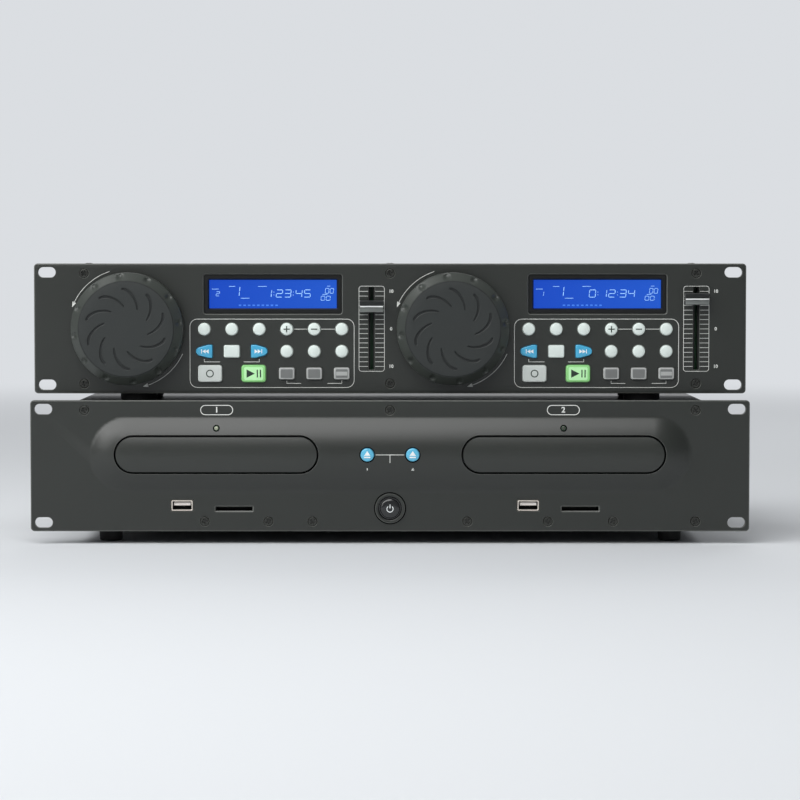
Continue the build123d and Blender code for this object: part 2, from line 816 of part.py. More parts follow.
# ---------------------------------------------------------------- screws
# Flush heads lie in the panels' faces; pan heads stand on the cases
with BuildPart() as sunk_screw:
    with BuildSketch():
        RegularPolygon(screw_head_diameter / 2, small_sides)
    extrude(amount=-sunk_head_depth)
    with BuildSketch(Plane.XY.offset(-sunk_head_depth)):
        RegularPolygon(screw_diameter / 2, tiny_sides)
    extrude(amount=-(screw_length - sunk_head_depth))
with BuildPart() as pan_screw:
    with BuildSketch():
        RegularPolygon(screw_head_diameter / 2, small_sides)
    extrude(amount=pan_head_height)
    with BuildSketch():
        RegularPolygon(screw_diameter / 2, tiny_sides)
    extrude(amount=-screw_length / 2)

with BuildPart() as controller_screws:
    with Locations(facing(controller_face_y)):
        with Locations(*controller_screws_at):
            add(sunk_screw.part)
    with Locations(Plane.XY.offset(controller_base_z + case_height)):
        with Locations(*[(x, case_screw_y) for x in case_screws_x]):
            add(pan_screw.part)
    with Locations(Plane.XY.offset(controller_base_z).rotated((180, 0, 0))):
        with Locations(*[(x, -case_screw_y) for x in case_screws_x]):
            add(pan_screw.part)
controller_screws.part.label = "controller_screws"
export_step(controller_screws.part, "parts/controller_screws.step")

cover_middle_y = player_back_y + player_case_depth / 2
cover_screws_y = [cover_middle_y + side * cover_screw_spread / 2 for side in (-1, 1)]
right_side = Plane.YZ.offset(player_case_width / 2)
left_side = Plane(origin=(-player_case_width / 2, 0, 0), x_dir=(0, -1, 0), z_dir=(-1, 0, 0))
with BuildPart() as player_screws:
    with Locations(facing(player_face_y)):
        with Locations(*player_screws_at):
            add(sunk_screw.part)
    with Locations(right_side):
        with Locations(*[(y, player_z) for y in cover_screws_y]):
            add(pan_screw.part)
    with Locations(left_side):
        with Locations(*[(-y, player_z) for y in cover_screws_y]):
            add(pan_screw.part)
player_screws.part.label = "player_screws"
export_step(player_screws.part, "parts/player_screws.step")

# ---------------------------------------------------------------- drive unit's case
# An open-topped pan with a front frame, and a cover folded over its top and sides
pan_width = player_case_width - 2 * sheet
pan_height = case_height - sheet
pan_z = player_foot_height + pan_height / 2
main_board_bosses = (main_board_width - 2 * boss_width, main_board_depth - 2 * boss_width)
with BuildPart() as player_chassis:
    with BuildSketch(facing(player_back_y)):
        with Locations((0, pan_z)):
            Rectangle(pan_width, pan_height)
    extrude(amount=-player_case_depth)
    with BuildSketch(Plane.XY.offset(player_floor_z)):
        with Locations((0, player_back_y + player_case_depth / 2)):
            Rectangle(pan_width - 2 * sheet, player_case_depth - 2 * sheet)
    extrude(amount=pan_height, mode=Mode.SUBTRACT)
    with BuildSketch(facing(player_back_y)):
        with Locations((0, player_z)):
            Rectangle(pan_width - 2 * lip_width, case_height - 2 * lip_width)
        with Locations(*player_screws_at):
            Rectangle(tab_width, tab_height, mode=Mode.SUBTRACT)
            add(screw_hole.sketch)
    extrude(amount=-sheet, mode=Mode.SUBTRACT)
    with BuildSketch(facing(player_rear_y)):
        with Locations(*[(x, player_z + jack_z) for x in jack_x]):
            RegularPolygon(jack_diameter / 2 + jack_clearance, small_sides)
        with Locations((multi_x, player_z + multi_z)):
            Rectangle(
                multi_shell_width + 2 * multi_clearance,
                multi_shell_height + 2 * multi_clearance,
            )
        with Locations((inlet_x, player_z + inlet_z)):
            Rectangle(
                inlet_body_width + 2 * inlet_clearance,
                inlet_body_height + 2 * inlet_clearance,
            )
    extrude(amount=sheet, mode=Mode.SUBTRACT)
    with BuildSketch(Plane.XY.offset(player_floor_z)):
        with Locations((0, main_board_y)):
            with GridLocations(*main_board_bosses, 2, 2):
                Rectangle(boss_width, boss_width)
    extrude(amount=main_board_height)
    with BuildSketch(Plane.YZ):
        with Locations(*[(y, player_z) for y in cover_screws_y]):
            add(screw_hole.sketch)
    extrude(amount=player_case_width, both=True, mode=Mode.SUBTRACT)
player_chassis.part.label = "player_chassis"
export_step(player_chassis.part, "parts/player_chassis.step")

with BuildPart() as player_top_cover:
    with BuildSketch(facing(player_back_y)):
        with Locations((0, player_foot_height + case_height / 2)):
            Rectangle(player_case_width, case_height)
        with Locations((0, pan_z)):
            Rectangle(pan_width, pan_height, mode=Mode.SUBTRACT)
    extrude(amount=-player_case_depth)
    with BuildSketch(Plane.XY.offset(player_top_z)):
        with Locations((0, player_rear_y - vent_inset)):
            for side in (-1, 1):
                with Locations((side * vent_x, 0)):
                    with GridLocations(vent_pitch, 0, vent_count, 1):
                        Rectangle(vent_width, vent_length)
    extrude(amount=-sheet, mode=Mode.SUBTRACT)
    with BuildSketch(Plane.YZ):
        with Locations(*[(y, player_z) for y in cover_screws_y]):
            add(screw_hole.sketch)
    extrude(amount=player_case_width, both=True, mode=Mode.SUBTRACT)
player_top_cover.part.label = "player_top_cover"
export_step(player_top_cover.part, "parts/player_top_cover.step")

player_feet_y = (player_back_y + player_foot_inset, player_rear_y - player_foot_inset)
with BuildPart() as foot:
    with BuildSketch(Plane.XZ):
        with BuildLine():
            Polyline(
                (0, 0),
                (player_foot_bottom / 2 - player_foot_edge, 0),
                (player_foot_bottom / 2, player_foot_edge),
                (player_foot_top / 2, player_foot_height),
                (0, player_foot_height),
                close=True,
            )
        make_face()
    revolve(axis=Axis.Z)
with BuildPart() as player_feet:
    for y in player_feet_y:
        with Locations((-player_foot_spread / 2, y), (player_foot_spread / 2, y)):
            add(foot.part)
player_feet.part.label = "player_feet"
export_step(player_feet.part, "parts/player_feet.step")

# ---------------------------------------------------------------- trays and their doors
tray_rear_y = player_face_y + tray_length
tray_disc_y = player_face_y + tray_front_wall + disc_front_margin + disc_recess_diameter / 2
tray_top_z = tray_z + tray_top
for deck, tray_x in enumerate(tray_centres, start=1):
    with BuildPart() as tray_door:
        with BuildSketch(facing(player_front_y)):
            with Locations((tray_x, tray_z)):
                SlotOverall(door_width, door_height)
        extrude(amount=-front_reach)
        add(cushion_outside, mode=Mode.INTERSECT)
        with BuildSketch(facing(player_face_y)):
            with Locations((tray_x, tray_z)):
                SlotOverall(door_width - 2 * door_rim, door_height - 2 * door_rim)
        extrude(amount=door_pocket_depth, mode=Mode.SUBTRACT)
    tray_door.part.label = f"tray_door_{deck}"
    export_step(tray_door.part, f"parts/tray_door_{deck}.step")

    with BuildPart() as tray:
        with BuildSketch(facing(player_face_y)):
            with Locations((tray_x, tray_z)):
                SlotOverall(tray_front_width, tray_front_height)
        extrude(amount=-tray_front_wall)
        with BuildSketch(Plane.XY.offset(tray_top_z)):
            with Locations((tray_x, player_face_y + tray_length / 2)):
                Rectangle(tray_width, tray_length)
        extrude(amount=-tray_plate)
        with BuildSketch(Plane.XY.offset(tray_top_z - tray_plate)):
            for side in (-1, 1):
                with Locations(
                    (
                        tray_x + side * (tray_width - tray_rail_width) / 2,
                        player_face_y + tray_length / 2,
                    )
                ):
                    Rectangle(tray_rail_width, tray_length)
        extrude(amount=-tray_rail_depth)
        with BuildSketch(Plane.XY.offset(tray_top_z)):
            with Locations((tray_x, tray_disc_y)):
                Circle(disc_recess_diameter / 2)
        extrude(amount=-disc_recess_depth, mode=Mode.SUBTRACT)
        with BuildSketch(Plane.XY.offset(tray_top_z - disc_recess_depth)):
            with Locations((tray_x, tray_disc_y)):
                Circle(small_recess_diameter / 2)
        extrude(amount=-small_recess_depth, mode=Mode.SUBTRACT)
        with BuildSketch(Plane.XY.offset(tray_top_z)):
            with Locations((tray_x, tray_disc_y)):
                Circle(spindle_slot_width / 2)
            with Locations((tray_x, (tray_disc_y + tray_rear_y) / 2)):
                Rectangle(spindle_slot_width, tray_rear_y - tray_disc_y)
        extrude(amount=-tray_plate, mode=Mode.SUBTRACT)
    tray.part.label = f"tray_{deck}"
    export_step(tray.part, f"parts/tray_{deck}.step")

# ---------------------------------------------------------------- disc drives
# An open trough that guides the tray, on four legs, with the disc clamp on a bridge
# above the tray and the motor's spindle below it
trough_inside = tray_width / 2 + guide_clearance
trough_bottom = tray_z - drive_depth
rail_bottom = tray_top_z - tray_plate - tray_rail_depth
bridge_z = tray_z + drive_side_height
with BuildPart() as disc_drives:
    for tray_x in tray_centres:
        outer = trough_inside + drive_wall
        with BuildSketch(facing(drive_y)):
            with Locations((tray_x, (trough_bottom + bridge_z) / 2)):
                Rectangle(2 * outer, bridge_z - trough_bottom)
            with Locations((tray_x, (trough_bottom + drive_floor + bridge_z) / 2)):
                Rectangle(
                    2 * trough_inside, bridge_z - trough_bottom - drive_floor, mode=Mode.SUBTRACT
                )
            for side in (-1, 1):
                edge = tray_x + side * (trough_inside - guide_width / 2)
                with Locations((edge, rail_bottom - guide_clearance - guide_thickness / 2)):
                    Rectangle(guide_width, guide_thickness)
                edge = tray_x + side * (trough_inside - guide_width / 4)
                with Locations((edge, tray_top_z + guide_clearance + guide_thickness / 2)):
                    Rectangle(guide_width / 2, guide_thickness)
        extrude(amount=-drive_length)
        with BuildSketch(Plane.XY.offset(bridge_z)):
            with Locations((tray_x, disc_y)):
                Rectangle(2 * outer, bridge_width)
        extrude(amount=bridge_thickness)
        with BuildSketch(Plane.XY.offset(bridge_z)):
            with Locations((tray_x, disc_y)):
                Circle(clamp_diameter / 2)
        extrude(amount=-(bridge_z - tray_top_z - clamp_gap))
        with BuildSketch(Plane.XY.offset(trough_bottom + drive_floor)):
            with Locations((tray_x, disc_y)):
                Circle(motor_diameter / 2)
        extrude(amount=rail_bottom - trough_bottom - drive_floor)
        with BuildSketch(Plane.XY.offset(rail_bottom)):
            with Locations((tray_x, disc_y)):
                Circle(hub_cone_diameter / 2)
        extrude(amount=tray_z + hub_cone_top - rail_bottom)
        with BuildSketch(Plane.XY.offset(trough_bottom)):
            with Locations((tray_x, drive_y + drive_length / 2)):
                with GridLocations(2 * outer - leg_width, drive_length - leg_width, 2, 2):
                    Rectangle(leg_width, leg_width)
        extrude(amount=-(trough_bottom - player_floor_z))
disc_drives.part.label = "disc_drives"
export_step(disc_drives.part, "parts/disc_drives.step")

# ---------------------------------------------------------------- eject and power buttons
crown_y = player_face_y - bulge_rise
eject_flange_width = eject_diameter + 2 * key_flange_margin
eject_seat_y = player_back_y - bulge_pocket_depth
player_switch_y = player_board_y - switch_height
for deck, side in enumerate((-1, 1), start=1):
    place = (side * eject_spread / 2, tray_z)
    with BuildPart() as eject_button:
        with BuildSketch(facing(crown_y - eject_proud)):
            with Locations(place):
                RegularPolygon(eject_diameter / 2, small_sides)
        extrude(amount=-(eject_seat_y - crown_y + eject_proud))
        with BuildSketch(facing(eject_seat_y)):
            with Locations(place):
                Rectangle(eject_flange_width, eject_flange_width)
        extrude(amount=-key_flange)
        with BuildSketch(facing(eject_seat_y + key_flange)):
            with Locations(place):
                Rectangle(stem_width, stem_width)
        extrude(amount=-(player_switch_y + stem_entry - eject_seat_y - key_flange))
    eject_button.part.label = f"eject_button_{deck}"
    export_step(eject_button.part, f"parts/eject_button_{deck}.step")

power_ring_diameter = power_hole_diameter - 2 * key_clearance
power_flange_width = power_hole_diameter + 2 * key_flange_margin
with BuildPart() as power_button:
    with BuildSketch(facing(player_face_y - power_cap_proud)):
        with Locations((0, player_z + power_z)):
            Circle(power_cap_diameter / 2)
    extrude(amount=-power_cap_proud)
    with BuildSketch(facing(player_face_y - power_ring_proud)):
        with Locations((0, player_z + power_z)):
            Circle(power_ring_diameter / 2)
    extrude(amount=-(power_ring_proud + panel_thickness))
    with BuildSketch(facing(player_back_y)):
        with Locations((0, player_z + power_z)):
            Rectangle(power_flange_width, power_flange_width)
    extrude(amount=-power_flange)
    with BuildSketch(facing(player_back_y + power_flange)):
        with Locations((0, player_z + power_z)):
            Rectangle(stem_width, stem_width)
    extrude(amount=-(player_switch_y + stem_entry - player_back_y - power_flange))
power_button.part.label = "power_button"
export_step(power_button.part, "parts/power_button.step")

# ---------------------------------------------------------------- drive unit's boards
# The front board lies round the trays and carries the switches and the two light pipes
player_switches_at = [
    (-eject_spread / 2, tray_z),
    (eject_spread / 2, tray_z),
    (0, player_z + power_z),
]
led_drop = player_z + led_z - tray_z
led_tip_y = bulge_axis_y - sqrt(bulge_radius**2 - led_drop**2)
deepest_press = max(eject_travel, power_travel)
with BuildPart() as front_board:
    with BuildSketch(facing(player_board_y)):
        with Locations((0, player_z)):
            Rectangle(pan_width - 2 * sheet - 2 * board_margin, board_height)
        with Locations(*[(x, tray_z) for x in tray_centres]):
            Rectangle(
                tray_front_width + 2 * board_cutout_margin,
                tray_front_height + 2 * board_cutout_margin,
                mode=Mode.SUBTRACT,
            )
    extrude(amount=-board_thickness)
    with BuildSketch(facing(player_board_y)):
        with Locations(*player_switches_at):
            Rectangle(switch_width, switch_width)
    extrude(amount=switch_height)
    with BuildSketch(facing(player_switch_y)):
        with Locations(*player_switches_at):
            Rectangle(stem_hole, stem_hole)
    extrude(amount=-(stem_entry + deepest_press + stem_margin), mode=Mode.SUBTRACT)
    with BuildSketch(facing(player_board_y)):
        with Locations(*[(x, player_z + led_z) for x in tray_centres]):
            RegularPolygon(led_diameter / 2, small_sides)
    extrude(amount=player_board_y - led_tip_y)
main_board_z = player_floor_z + main_board_height
with BuildPart() as main_board:
    with BuildSketch(Plane.XY.offset(main_board_z)):
        with Locations((0, main_board_y)):
            Rectangle(main_board_width, main_board_depth)
    extrude(amount=board_thickness)
    with BuildSketch(Plane.XY.offset(main_board_z + board_thickness)):
        with Locations((transformer_x, main_board_y)):
            Rectangle(transformer_width, main_board_depth - 2 * transformer_margin)
    extrude(amount=transformer_height)
player_boards = Compound(
    label="player_boards", children=[front_board.part.solid(), main_board.part.solid()]
)
export_step(player_boards, "parts/player_boards.step")

# ---------------------------------------------------------------- front sockets
usb_front_y = player_face_y - usb_proud
usb_depth = player_board_y - usb_front_y
with BuildPart() as media_sockets:
    for tray_x in tray_centres:
        usb_place = (tray_x + usb_x, player_z + usb_z)
        card_place = (tray_x + card_x, player_z + card_z)
        with BuildSketch(facing(usb_front_y)):
            with Locations(usb_place):
                Rectangle(usb_width, usb_height)
                Rectangle(
                    usb_width - 2 * usb_wall, usb_height - 2 * usb_wall, mode=Mode.SUBTRACT
                )
        extrude(amount=-usb_depth)
        with BuildSketch(facing(player_board_y - usb_back)):
            with Locations(usb_place):
                Rectangle(usb_width, usb_height)
        extrude(amount=-usb_back)
        with BuildSketch(facing(usb_front_y + tongue_setback)):
            with Locations((usb_place[0], usb_place[1] + tongue_lift)):
                Rectangle(tongue_width, tongue_height)
        extrude(amount=-(usb_depth - usb_back - tongue_setback))
        with BuildSketch(facing(player_back_y)):
            with Locations(card_place):
                Rectangle(card_slot_width + 2 * card_wall, card_slot_height + 2 * card_wall)
                Rectangle(card_slot_width, card_slot_height, mode=Mode.SUBTRACT)
        extrude(amount=-board_gap)
        with BuildSketch(facing(player_board_y - card_back)):
            with Locations(card_place):
                Rectangle(card_slot_width, card_slot_height)
        extrude(amount=-card_back)
media_sockets.part.label = "media_sockets"
export_step(media_sockets.part, "parts/media_sockets.step")

# ---------------------------------------------------------------- rear sockets
player_wall_y = player_rear_y - sheet
jacks_at = [(x, player_z + jack_z) for x in jack_x]
block_width = max(jack_x) - min(jack_x) + 2 * jack_block_margin
with BuildPart() as audio_jacks:
    with BuildSketch(facing(player_wall_y)):
        with Locations(((max(jack_x) + min(jack_x)) / 2, player_z + jack_z)):
            Rectangle(block_width, jack_block_height)
    extrude(amount=jack_block_depth)
    with BuildSketch(facing(player_wall_y)):
        with Locations(*jacks_at):
            RegularPolygon(jack_diameter / 2, small_sides)
    extrude(amount=-(sheet + jack_length))
    with BuildSketch(facing(player_rear_y + jack_length)):
        with Locations(*jacks_at):
            RegularPolygon(jack_bore / 2, tiny_sides)
    extrude(amount=jack_bore_depth, mode=Mode.SUBTRACT)
with BuildPart() as mains_inlet:
    inlet_place = (inlet_x, player_z + inlet_z)
    inlet_front_y = player_rear_y + inlet_flange
    with BuildSketch(facing(player_rear_y)):
        with Locations(inlet_place):
            RectangleRounded(inlet_flange_width, inlet_flange_height, inlet_corner)
    extrude(amount=-inlet_flange)
    with BuildSketch(facing(player_rear_y)):
        with Locations(inlet_place):
            Rectangle(inlet_body_width, inlet_body_height)
    extrude(amount=inlet_body_depth)
    with BuildSketch(facing(inlet_front_y)):
        with Locations(inlet_place):
            RectangleRounded(inlet_mouth_width, inlet_mouth_height, inlet_corner)
    extrude(amount=inlet_mouth_depth, mode=Mode.SUBTRACT)
    with BuildSketch(facing(inlet_front_y - inlet_mouth_depth)):
        with Locations(
            (inlet_place[0], inlet_place[1] + inlet_pin_height / 2),
            (inlet_place[0] - inlet_pin_spread / 2, inlet_place[1] - inlet_pin_height / 2),
            (inlet_place[0] + inlet_pin_spread / 2, inlet_place[1] - inlet_pin_height / 2),
        ):
            Rectangle(inlet_pin_width, inlet_pin_height)
    extrude(amount=-inlet_pin_length)
player_socket = multi_pin_socket(multi_x, player_rear_y, player_z + multi_z)
rear_sockets = Compound(
    label="rear_sockets",
    children=[audio_jacks.part.solid(), mains_inlet.part.solid(), player_socket.solid()],
)
export_step(rear_sockets, "parts/rear_sockets.step")
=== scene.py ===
import math

import bmesh
import bpy
import numpy as np
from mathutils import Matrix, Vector
from mathutils.geometry import delaunay_2d_cdt


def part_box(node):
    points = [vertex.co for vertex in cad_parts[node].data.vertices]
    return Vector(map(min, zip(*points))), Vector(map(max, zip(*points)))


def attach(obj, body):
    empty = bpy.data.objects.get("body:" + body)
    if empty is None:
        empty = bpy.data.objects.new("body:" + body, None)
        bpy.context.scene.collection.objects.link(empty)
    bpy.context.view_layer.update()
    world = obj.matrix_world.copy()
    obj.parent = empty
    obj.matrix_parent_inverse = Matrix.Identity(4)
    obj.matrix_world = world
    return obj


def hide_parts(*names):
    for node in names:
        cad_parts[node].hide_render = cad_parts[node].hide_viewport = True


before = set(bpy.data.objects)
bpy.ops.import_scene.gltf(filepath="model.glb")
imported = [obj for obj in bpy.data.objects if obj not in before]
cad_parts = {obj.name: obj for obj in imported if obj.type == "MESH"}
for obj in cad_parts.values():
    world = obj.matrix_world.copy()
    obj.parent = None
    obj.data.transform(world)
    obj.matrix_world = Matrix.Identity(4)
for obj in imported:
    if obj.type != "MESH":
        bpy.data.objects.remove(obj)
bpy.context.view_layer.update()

scene = bpy.context.scene

# ---------------------------------------------------------------- sheet-metal cases
# Two cases of folded steel, powder coated in a dull black: a pan with a cover screwed over it for
# the drive unit, and one box for the control unit. They stay as the frame has them.


def shade(red, green, blue):
    """A colour as it is seen, 0 to 255, turned into the linear numbers a shader takes."""
    seen = [c / 255 for c in (red, green, blue)]
    return (*[c / 12.92 if c < 0.04 else ((c + 0.055) / 1.055) ** 2.4 for c in seen], 1.0)


class Wiring:
    """A node tree whose nodes are made with their inputs and settings at once."""

    def __init__(self, tree):
        self.tree = tree

    def feed(self, node, inputs):
        """Links each input to a node or a socket, or gives it a plain value."""
        for key, value in inputs.items():
            value = getattr(value, "socket", value)
            if isinstance(value, bpy.types.Node):
                value = value.outputs[0]
            if isinstance(value, bpy.types.NodeSocket):
                self.tree.links.new(value, node.inputs[key])
            else:
                node.inputs[key].default_value = value

    def node(self, kind, inputs=None, **settings):
        made = self.tree.nodes.new(kind)
        for key, value in settings.items():
            setattr(made, key, value)
        self.feed(made, inputs or {})
        return made


def finish(name, seen, rough, metal=0.0, grain=(0.0, 0.5), mottle=(0.08, 30.0), coat=0.0, glow=0.0,
           shine=0.5):
    """A finish whose colour and gloss drift softly, with a fine grain standing up from it.

    grain is the height and width of the grain in millimetres, and mottle the share by which the
    colour drifts and the width over which it does.
    """
    colour = shade(*seen)[:3]
    material = bpy.data.materials.new(name)
    material.use_nodes = True
    wires, shader = Wiring(material.node_tree), material.node_tree.nodes["Principled BSDF"]
    place = wires.node("ShaderNodeTexCoord").outputs["Object"]
    soft, fine = [wires.node("ShaderNodeTexNoise", {"Vector": place, "Scale": 1000.0 / size,
                                                    "Detail": detail})
                  for size, detail in ((mottle[1], 3.0), (grain[1], 2.0))]
    colours = wires.node("ShaderNodeMix", {
        0: soft, 6: (*[c * (1 - mottle[0]) for c in colour], 1.0),
        7: (*[min(c * (1 + mottle[0]), 1.0) for c in colour], 1.0)}, data_type="RGBA").outputs[2]
    gloss = wires.node("ShaderNodeMapRange", {"Value": fine, "To Min": max(rough - 0.05, 0.02),
                                              "To Max": min(rough + 0.05, 1.0)})
    wires.feed(shader, {"Base Color": colours, "Roughness": gloss, "Metallic": metal,
                        "Coat Weight": coat, "Coat Roughness": 0.08, "Specular IOR Level": shine})
    if grain[0]:
        bump = wires.node("ShaderNodeBump", {"Height": fine, "Distance": grain[0] / 1000.0})
        wires.feed(shader, {"Normal": bump})
    if glow:
        wires.feed(shader, {"Emission Color": colours, "Emission Strength": glow})
    return material


def dress(node, material):
    """A piece of the frame keeps its shape and takes a finish."""
    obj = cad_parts[node]
    if not obj.material_slots:
        obj.data.materials.append(material)
    for taken in obj.material_slots:
        taken.material = material


powder_coat = finish("case_powder_coat", (50, 51, 48), 0.42, grain=(0.02, 0.6))
for case in ("player_chassis", "player_top_cover", "controller_housing"):
    dress(case, powder_coat)

# ---------------------------------------------------------------- boards and drives inside
# Green glass-fibre boards, and the two disc drives in bright steel, that show only past an open
# tray or through the vents. They stay as the frame has them.
solder_mask = finish("solder_mask", (38, 84, 52), 0.4, mottle=(0.25, 4.0))
drive_steel = finish("drive_steel", (150, 152, 155), 0.35, metal=0.9, mottle=(0.1, 30.0))
for board in ("player_boards", "control_boards"):
    dress(board, solder_mask)
dress("disc_drives", drive_steel)

# ---------------------------------------------------------------- control unit's front panel
# A 3 mm aluminium rack panel, painted charcoal with a fine grain, with a hole for each key, the
# wheels' bushes, the faders and the displays. Flush screws hold it to the case.
MM = 0.001


class Shell:
    """The points and faces of one piece, in millimetres, until they are joined."""

    def __init__(self):
        self.points, self.faces, self.kinds, self.lifted = [], [], [], []

    def add(self, points, faces, kind=0, lifted=False):
        first = len(self.points)
        self.points += [tuple(map(float, p)) for p in points]
        self.faces += [[first + int(i) for i in face] for face in faces]
        self.kinds += kind if isinstance(kind, list) else [kind] * len(faces)
        self.lifted += [int(lifted)] * len(faces)

    def wall(self, rings, kinds=None, closed=True):
        """Faces from each ring to the next; kinds gives each band's finish."""
        count = len(rings[0])
        steps = [(i, (i + 1) % count) for i in range(count if closed else count - 1)]
        for band, (near, far) in enumerate(zip(rings, rings[1:])):
            quads = [(a, a + count, b + count, b) for a, b in steps]
            self.add([*near, *far], quads, kinds[band] if kinds else 0)

    def solid(self, rings, kinds=None, ends=None):
        """A wall with a face over each end, unless the end is a point."""
        self.wall(rings, kinds)
        first, last = ends or ((kinds[0], kinds[-1]) if kinds else (0, 0))
        for ring, kind in ((rings[0], first), (rings[-1], last)):
            if np.ptp(ring, axis=0).max() > 0.01:
                self.add(ring, [range(len(ring))], kind)

    def block(self, low, high, kind=0):
        x, y, z = zip(low, high)
        points = [(x[i], y[j], z[k]) for i in (0, 1) for j in (0, 1) for k in (0, 1)]
        sides = [(0, 1, 3, 2), (4, 6, 7, 5), (0, 4, 5, 1), (2, 3, 7, 6), (0, 2, 6, 4), (1, 5, 7, 3)]
        self.add(points, sides, kind)

    def post(self, x, z, half, near, far, kind=0):
        """A square or oblong post about a middle, from one depth to another."""
        across, up = np.broadcast_to(half, 2)
        self.block((x - across, near, z - up), (x + across, far, z + up), kind)

    def moved(self, build, turn):
        """Runs a builder, and turns the points that it adds."""
        first = len(self.points)
        build()
        self.points[first:] = [turn(*point) for point in self.points[first:]]

    def piece(self, name, finishes, body, slot, stands_for=(), crease=35.0, lean=None):
        """Joins the faces into one closed piece that rides on its body."""
        mesh = bpy.data.meshes.new(name)
        mesh.from_pydata([tuple(c * MM for c in p) for p in self.points], [], self.faces)
        mesh.polygons.foreach_set("material_index", self.kinds)
        mesh.attributes.new("lifted", "INT", "FACE").data.foreach_set("value", self.lifted)
        whole = bmesh.new()
        whole.from_mesh(mesh)
        bmesh.ops.remove_doubles(whole, verts=whole.verts, dist=2e-6)
        bmesh.ops.recalc_face_normals(whole, faces=whole.faces)
        whole.to_mesh(mesh)
        whole.free()
        for material in finishes:
            mesh.materials.append(material)
        mesh.polygons.foreach_set("use_smooth", [True] * len(mesh.polygons))
        mesh.set_sharp_from_angle(angle=math.radians(crease))
        if lean:
            lifted = [flag.value for flag in mesh.attributes["lifted"].data]
            normals = [corner.vector.copy() for corner in mesh.corner_normals]
            for face in mesh.polygons:
                for corner in face.loop_indices if lifted[face.index] else ():
                    at = mesh.vertices[mesh.loops[corner].vertex_index].co / MM
                    normals[corner] = lean(at.x, at.z)
            mesh.normals_split_custom_set(normals)
        mesh.attributes.remove(mesh.attributes["lifted"])
        return finished(bpy.data.objects.new(name, mesh), body, stands_for)


def finished(obj, body, stands_for=()):
    """The calls that every new piece gets."""
    if obj.name not in scene.collection.objects:
        scene.collection.objects.link(obj)
    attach(obj, body)
    if stands_for:
        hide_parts(*stands_for)
    return obj


def middle(node):
    """A node's middle across and up, in millimetres."""
    low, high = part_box(node)
    return (low.x + high.x) / 2 / MM, (low.z + high.z) / 2 / MM


def polar(x, z, radius, angles):
    """Points round a middle, at angles anticlockwise from the right."""
    return np.stack([x + radius * np.cos(angles), z + radius * np.sin(angles)], axis=1)


def rounded(x, z, width, height=None, radius=None, steps=6):
    """A rounded rectangle's outline, anticlockwise from the front; a circle by default."""
    height = height or width
    radius = min(width, height) / 2 if radius is None else radius
    points = []
    for quarter, (across, up) in enumerate(((1, 1), (-1, 1), (-1, -1), (1, -1))):
        turns = np.radians(90 * (quarter + np.arange(steps + 1 if radius else 1) / steps))
        points += [*polar(x + across * (width / 2 - radius), z + up * (height / 2 - radius),
                          radius, turns)]
    kept = [p for p, q in zip(points, points[-1:] + points[:-1]) if math.dist(p, q) > 1e-4]
    return np.array(kept)


def grown(loop, amount):
    """An outline moved outwards by amount, or inwards where it is negative."""
    ahead = np.roll(loop, -1, axis=0) - loop
    side = np.stack([ahead[:, 1], -ahead[:, 0]], axis=1) / np.linalg.norm(ahead, axis=1)[:, None]
    before = np.roll(side, 1, axis=0)
    return loop + amount * (side + before) / (1 + (side * before).sum(axis=1))[:, None]


def inside(points, loop):
    """Which of the points lie within an outline."""
    x, z = points[:, 0, None], points[:, 1, None]
    (ax, az), (bx, bz) = loop.T, np.roll(loop, -1, axis=0).T
    spans = (az > z) != (bz > z)
    run = np.where(bz == az, 1.0, bz - az)
    return (spans & (x < ax + (bx - ax) * (z - az) / run)).sum(axis=1) % 2 == 1


def filled(outer, inner=(), extra=()):
    """Points and triangles between an outline and its holes, through the extra points."""
    loops = [outer, *inner]
    edges, first = [], 0
    for loop in loops:
        edges += [(first + i, first + (i + 1) % len(loop)) for i in range(len(loop))]
        first += len(loop)
    points = np.concatenate([*loops, extra]) if len(extra) else np.concatenate(loops)
    made = delaunay_2d_cdt([Vector(p) for p in points], edges, [], 0, 1e-5)
    flat = np.array([tuple(p) for p in made[0]])
    triangles = np.array(made[2])
    centres = flat[triangles].mean(axis=1)
    kept = inside(centres, outer)
    for loop in inner:
        kept &= ~inside(centres, loop)
    return flat, triangles[kept]


def standing(loop, level):
    """An outline's points at one depth, or at a depth for each of them."""
    return np.stack([loop[:, 0], np.broadcast_to(level, len(loop)), loop[:, 1]], axis=1)


def plate(shell, outline, holes, front, back, pocket=None, grid=(), lifted=False, kind=0):
    """A plate between its front, a function of x and z, and its back.

    The outline and each hole come with a profile of steps (into the metal, behind the front). A
    hole whose last step has no depth runs through to the back, or to the floor of the pocket.
    """
    front_loops, back_loops, floor_loops = [], [], []
    for number, (loop, profile, kinds) in enumerate([outline, *holes]):
        way = 1 if number else -1
        in_pocket = number and pocket is not None and inside(loop[:1], pocket[0])[0]
        level = pocket[1] if in_pocket else back
        rings = []
        for step, depth in profile:
            ring = grown(loop, way * step) if step else loop
            rings.append(standing(ring, level if depth is None else front(*ring.T) + depth))
        shell.wall(rings, kinds)
        front_loops.append(rings[0][:, ::2])
        if profile[-1][1] is not None:
            shell.add(rings[-1], [range(len(loop))], kinds[-1])
        else:
            (floor_loops if in_pocket else back_loops).append(rings[-1][:, ::2])
    flat, triangles = filled(front_loops[0], front_loops[1:], grid)
    shell.add(standing(flat, front(*flat.T)), triangles, kind, lifted)
    if pocket is not None:
        loop, floor = pocket
        shell.wall([standing(loop, back), standing(loop, floor)])
        flat, triangles = filled(loop, floor_loops)
        shell.add(standing(flat, floor), triangles)
        back_loops.append(loop)
    flat, triangles = filled(back_loops[0], back_loops[1:])
    shell.add(standing(flat, back), triangles, kind)


def flat_at(level):
    """A front that is flat at one depth."""
    return lambda x, z: np.full(len(x), level)


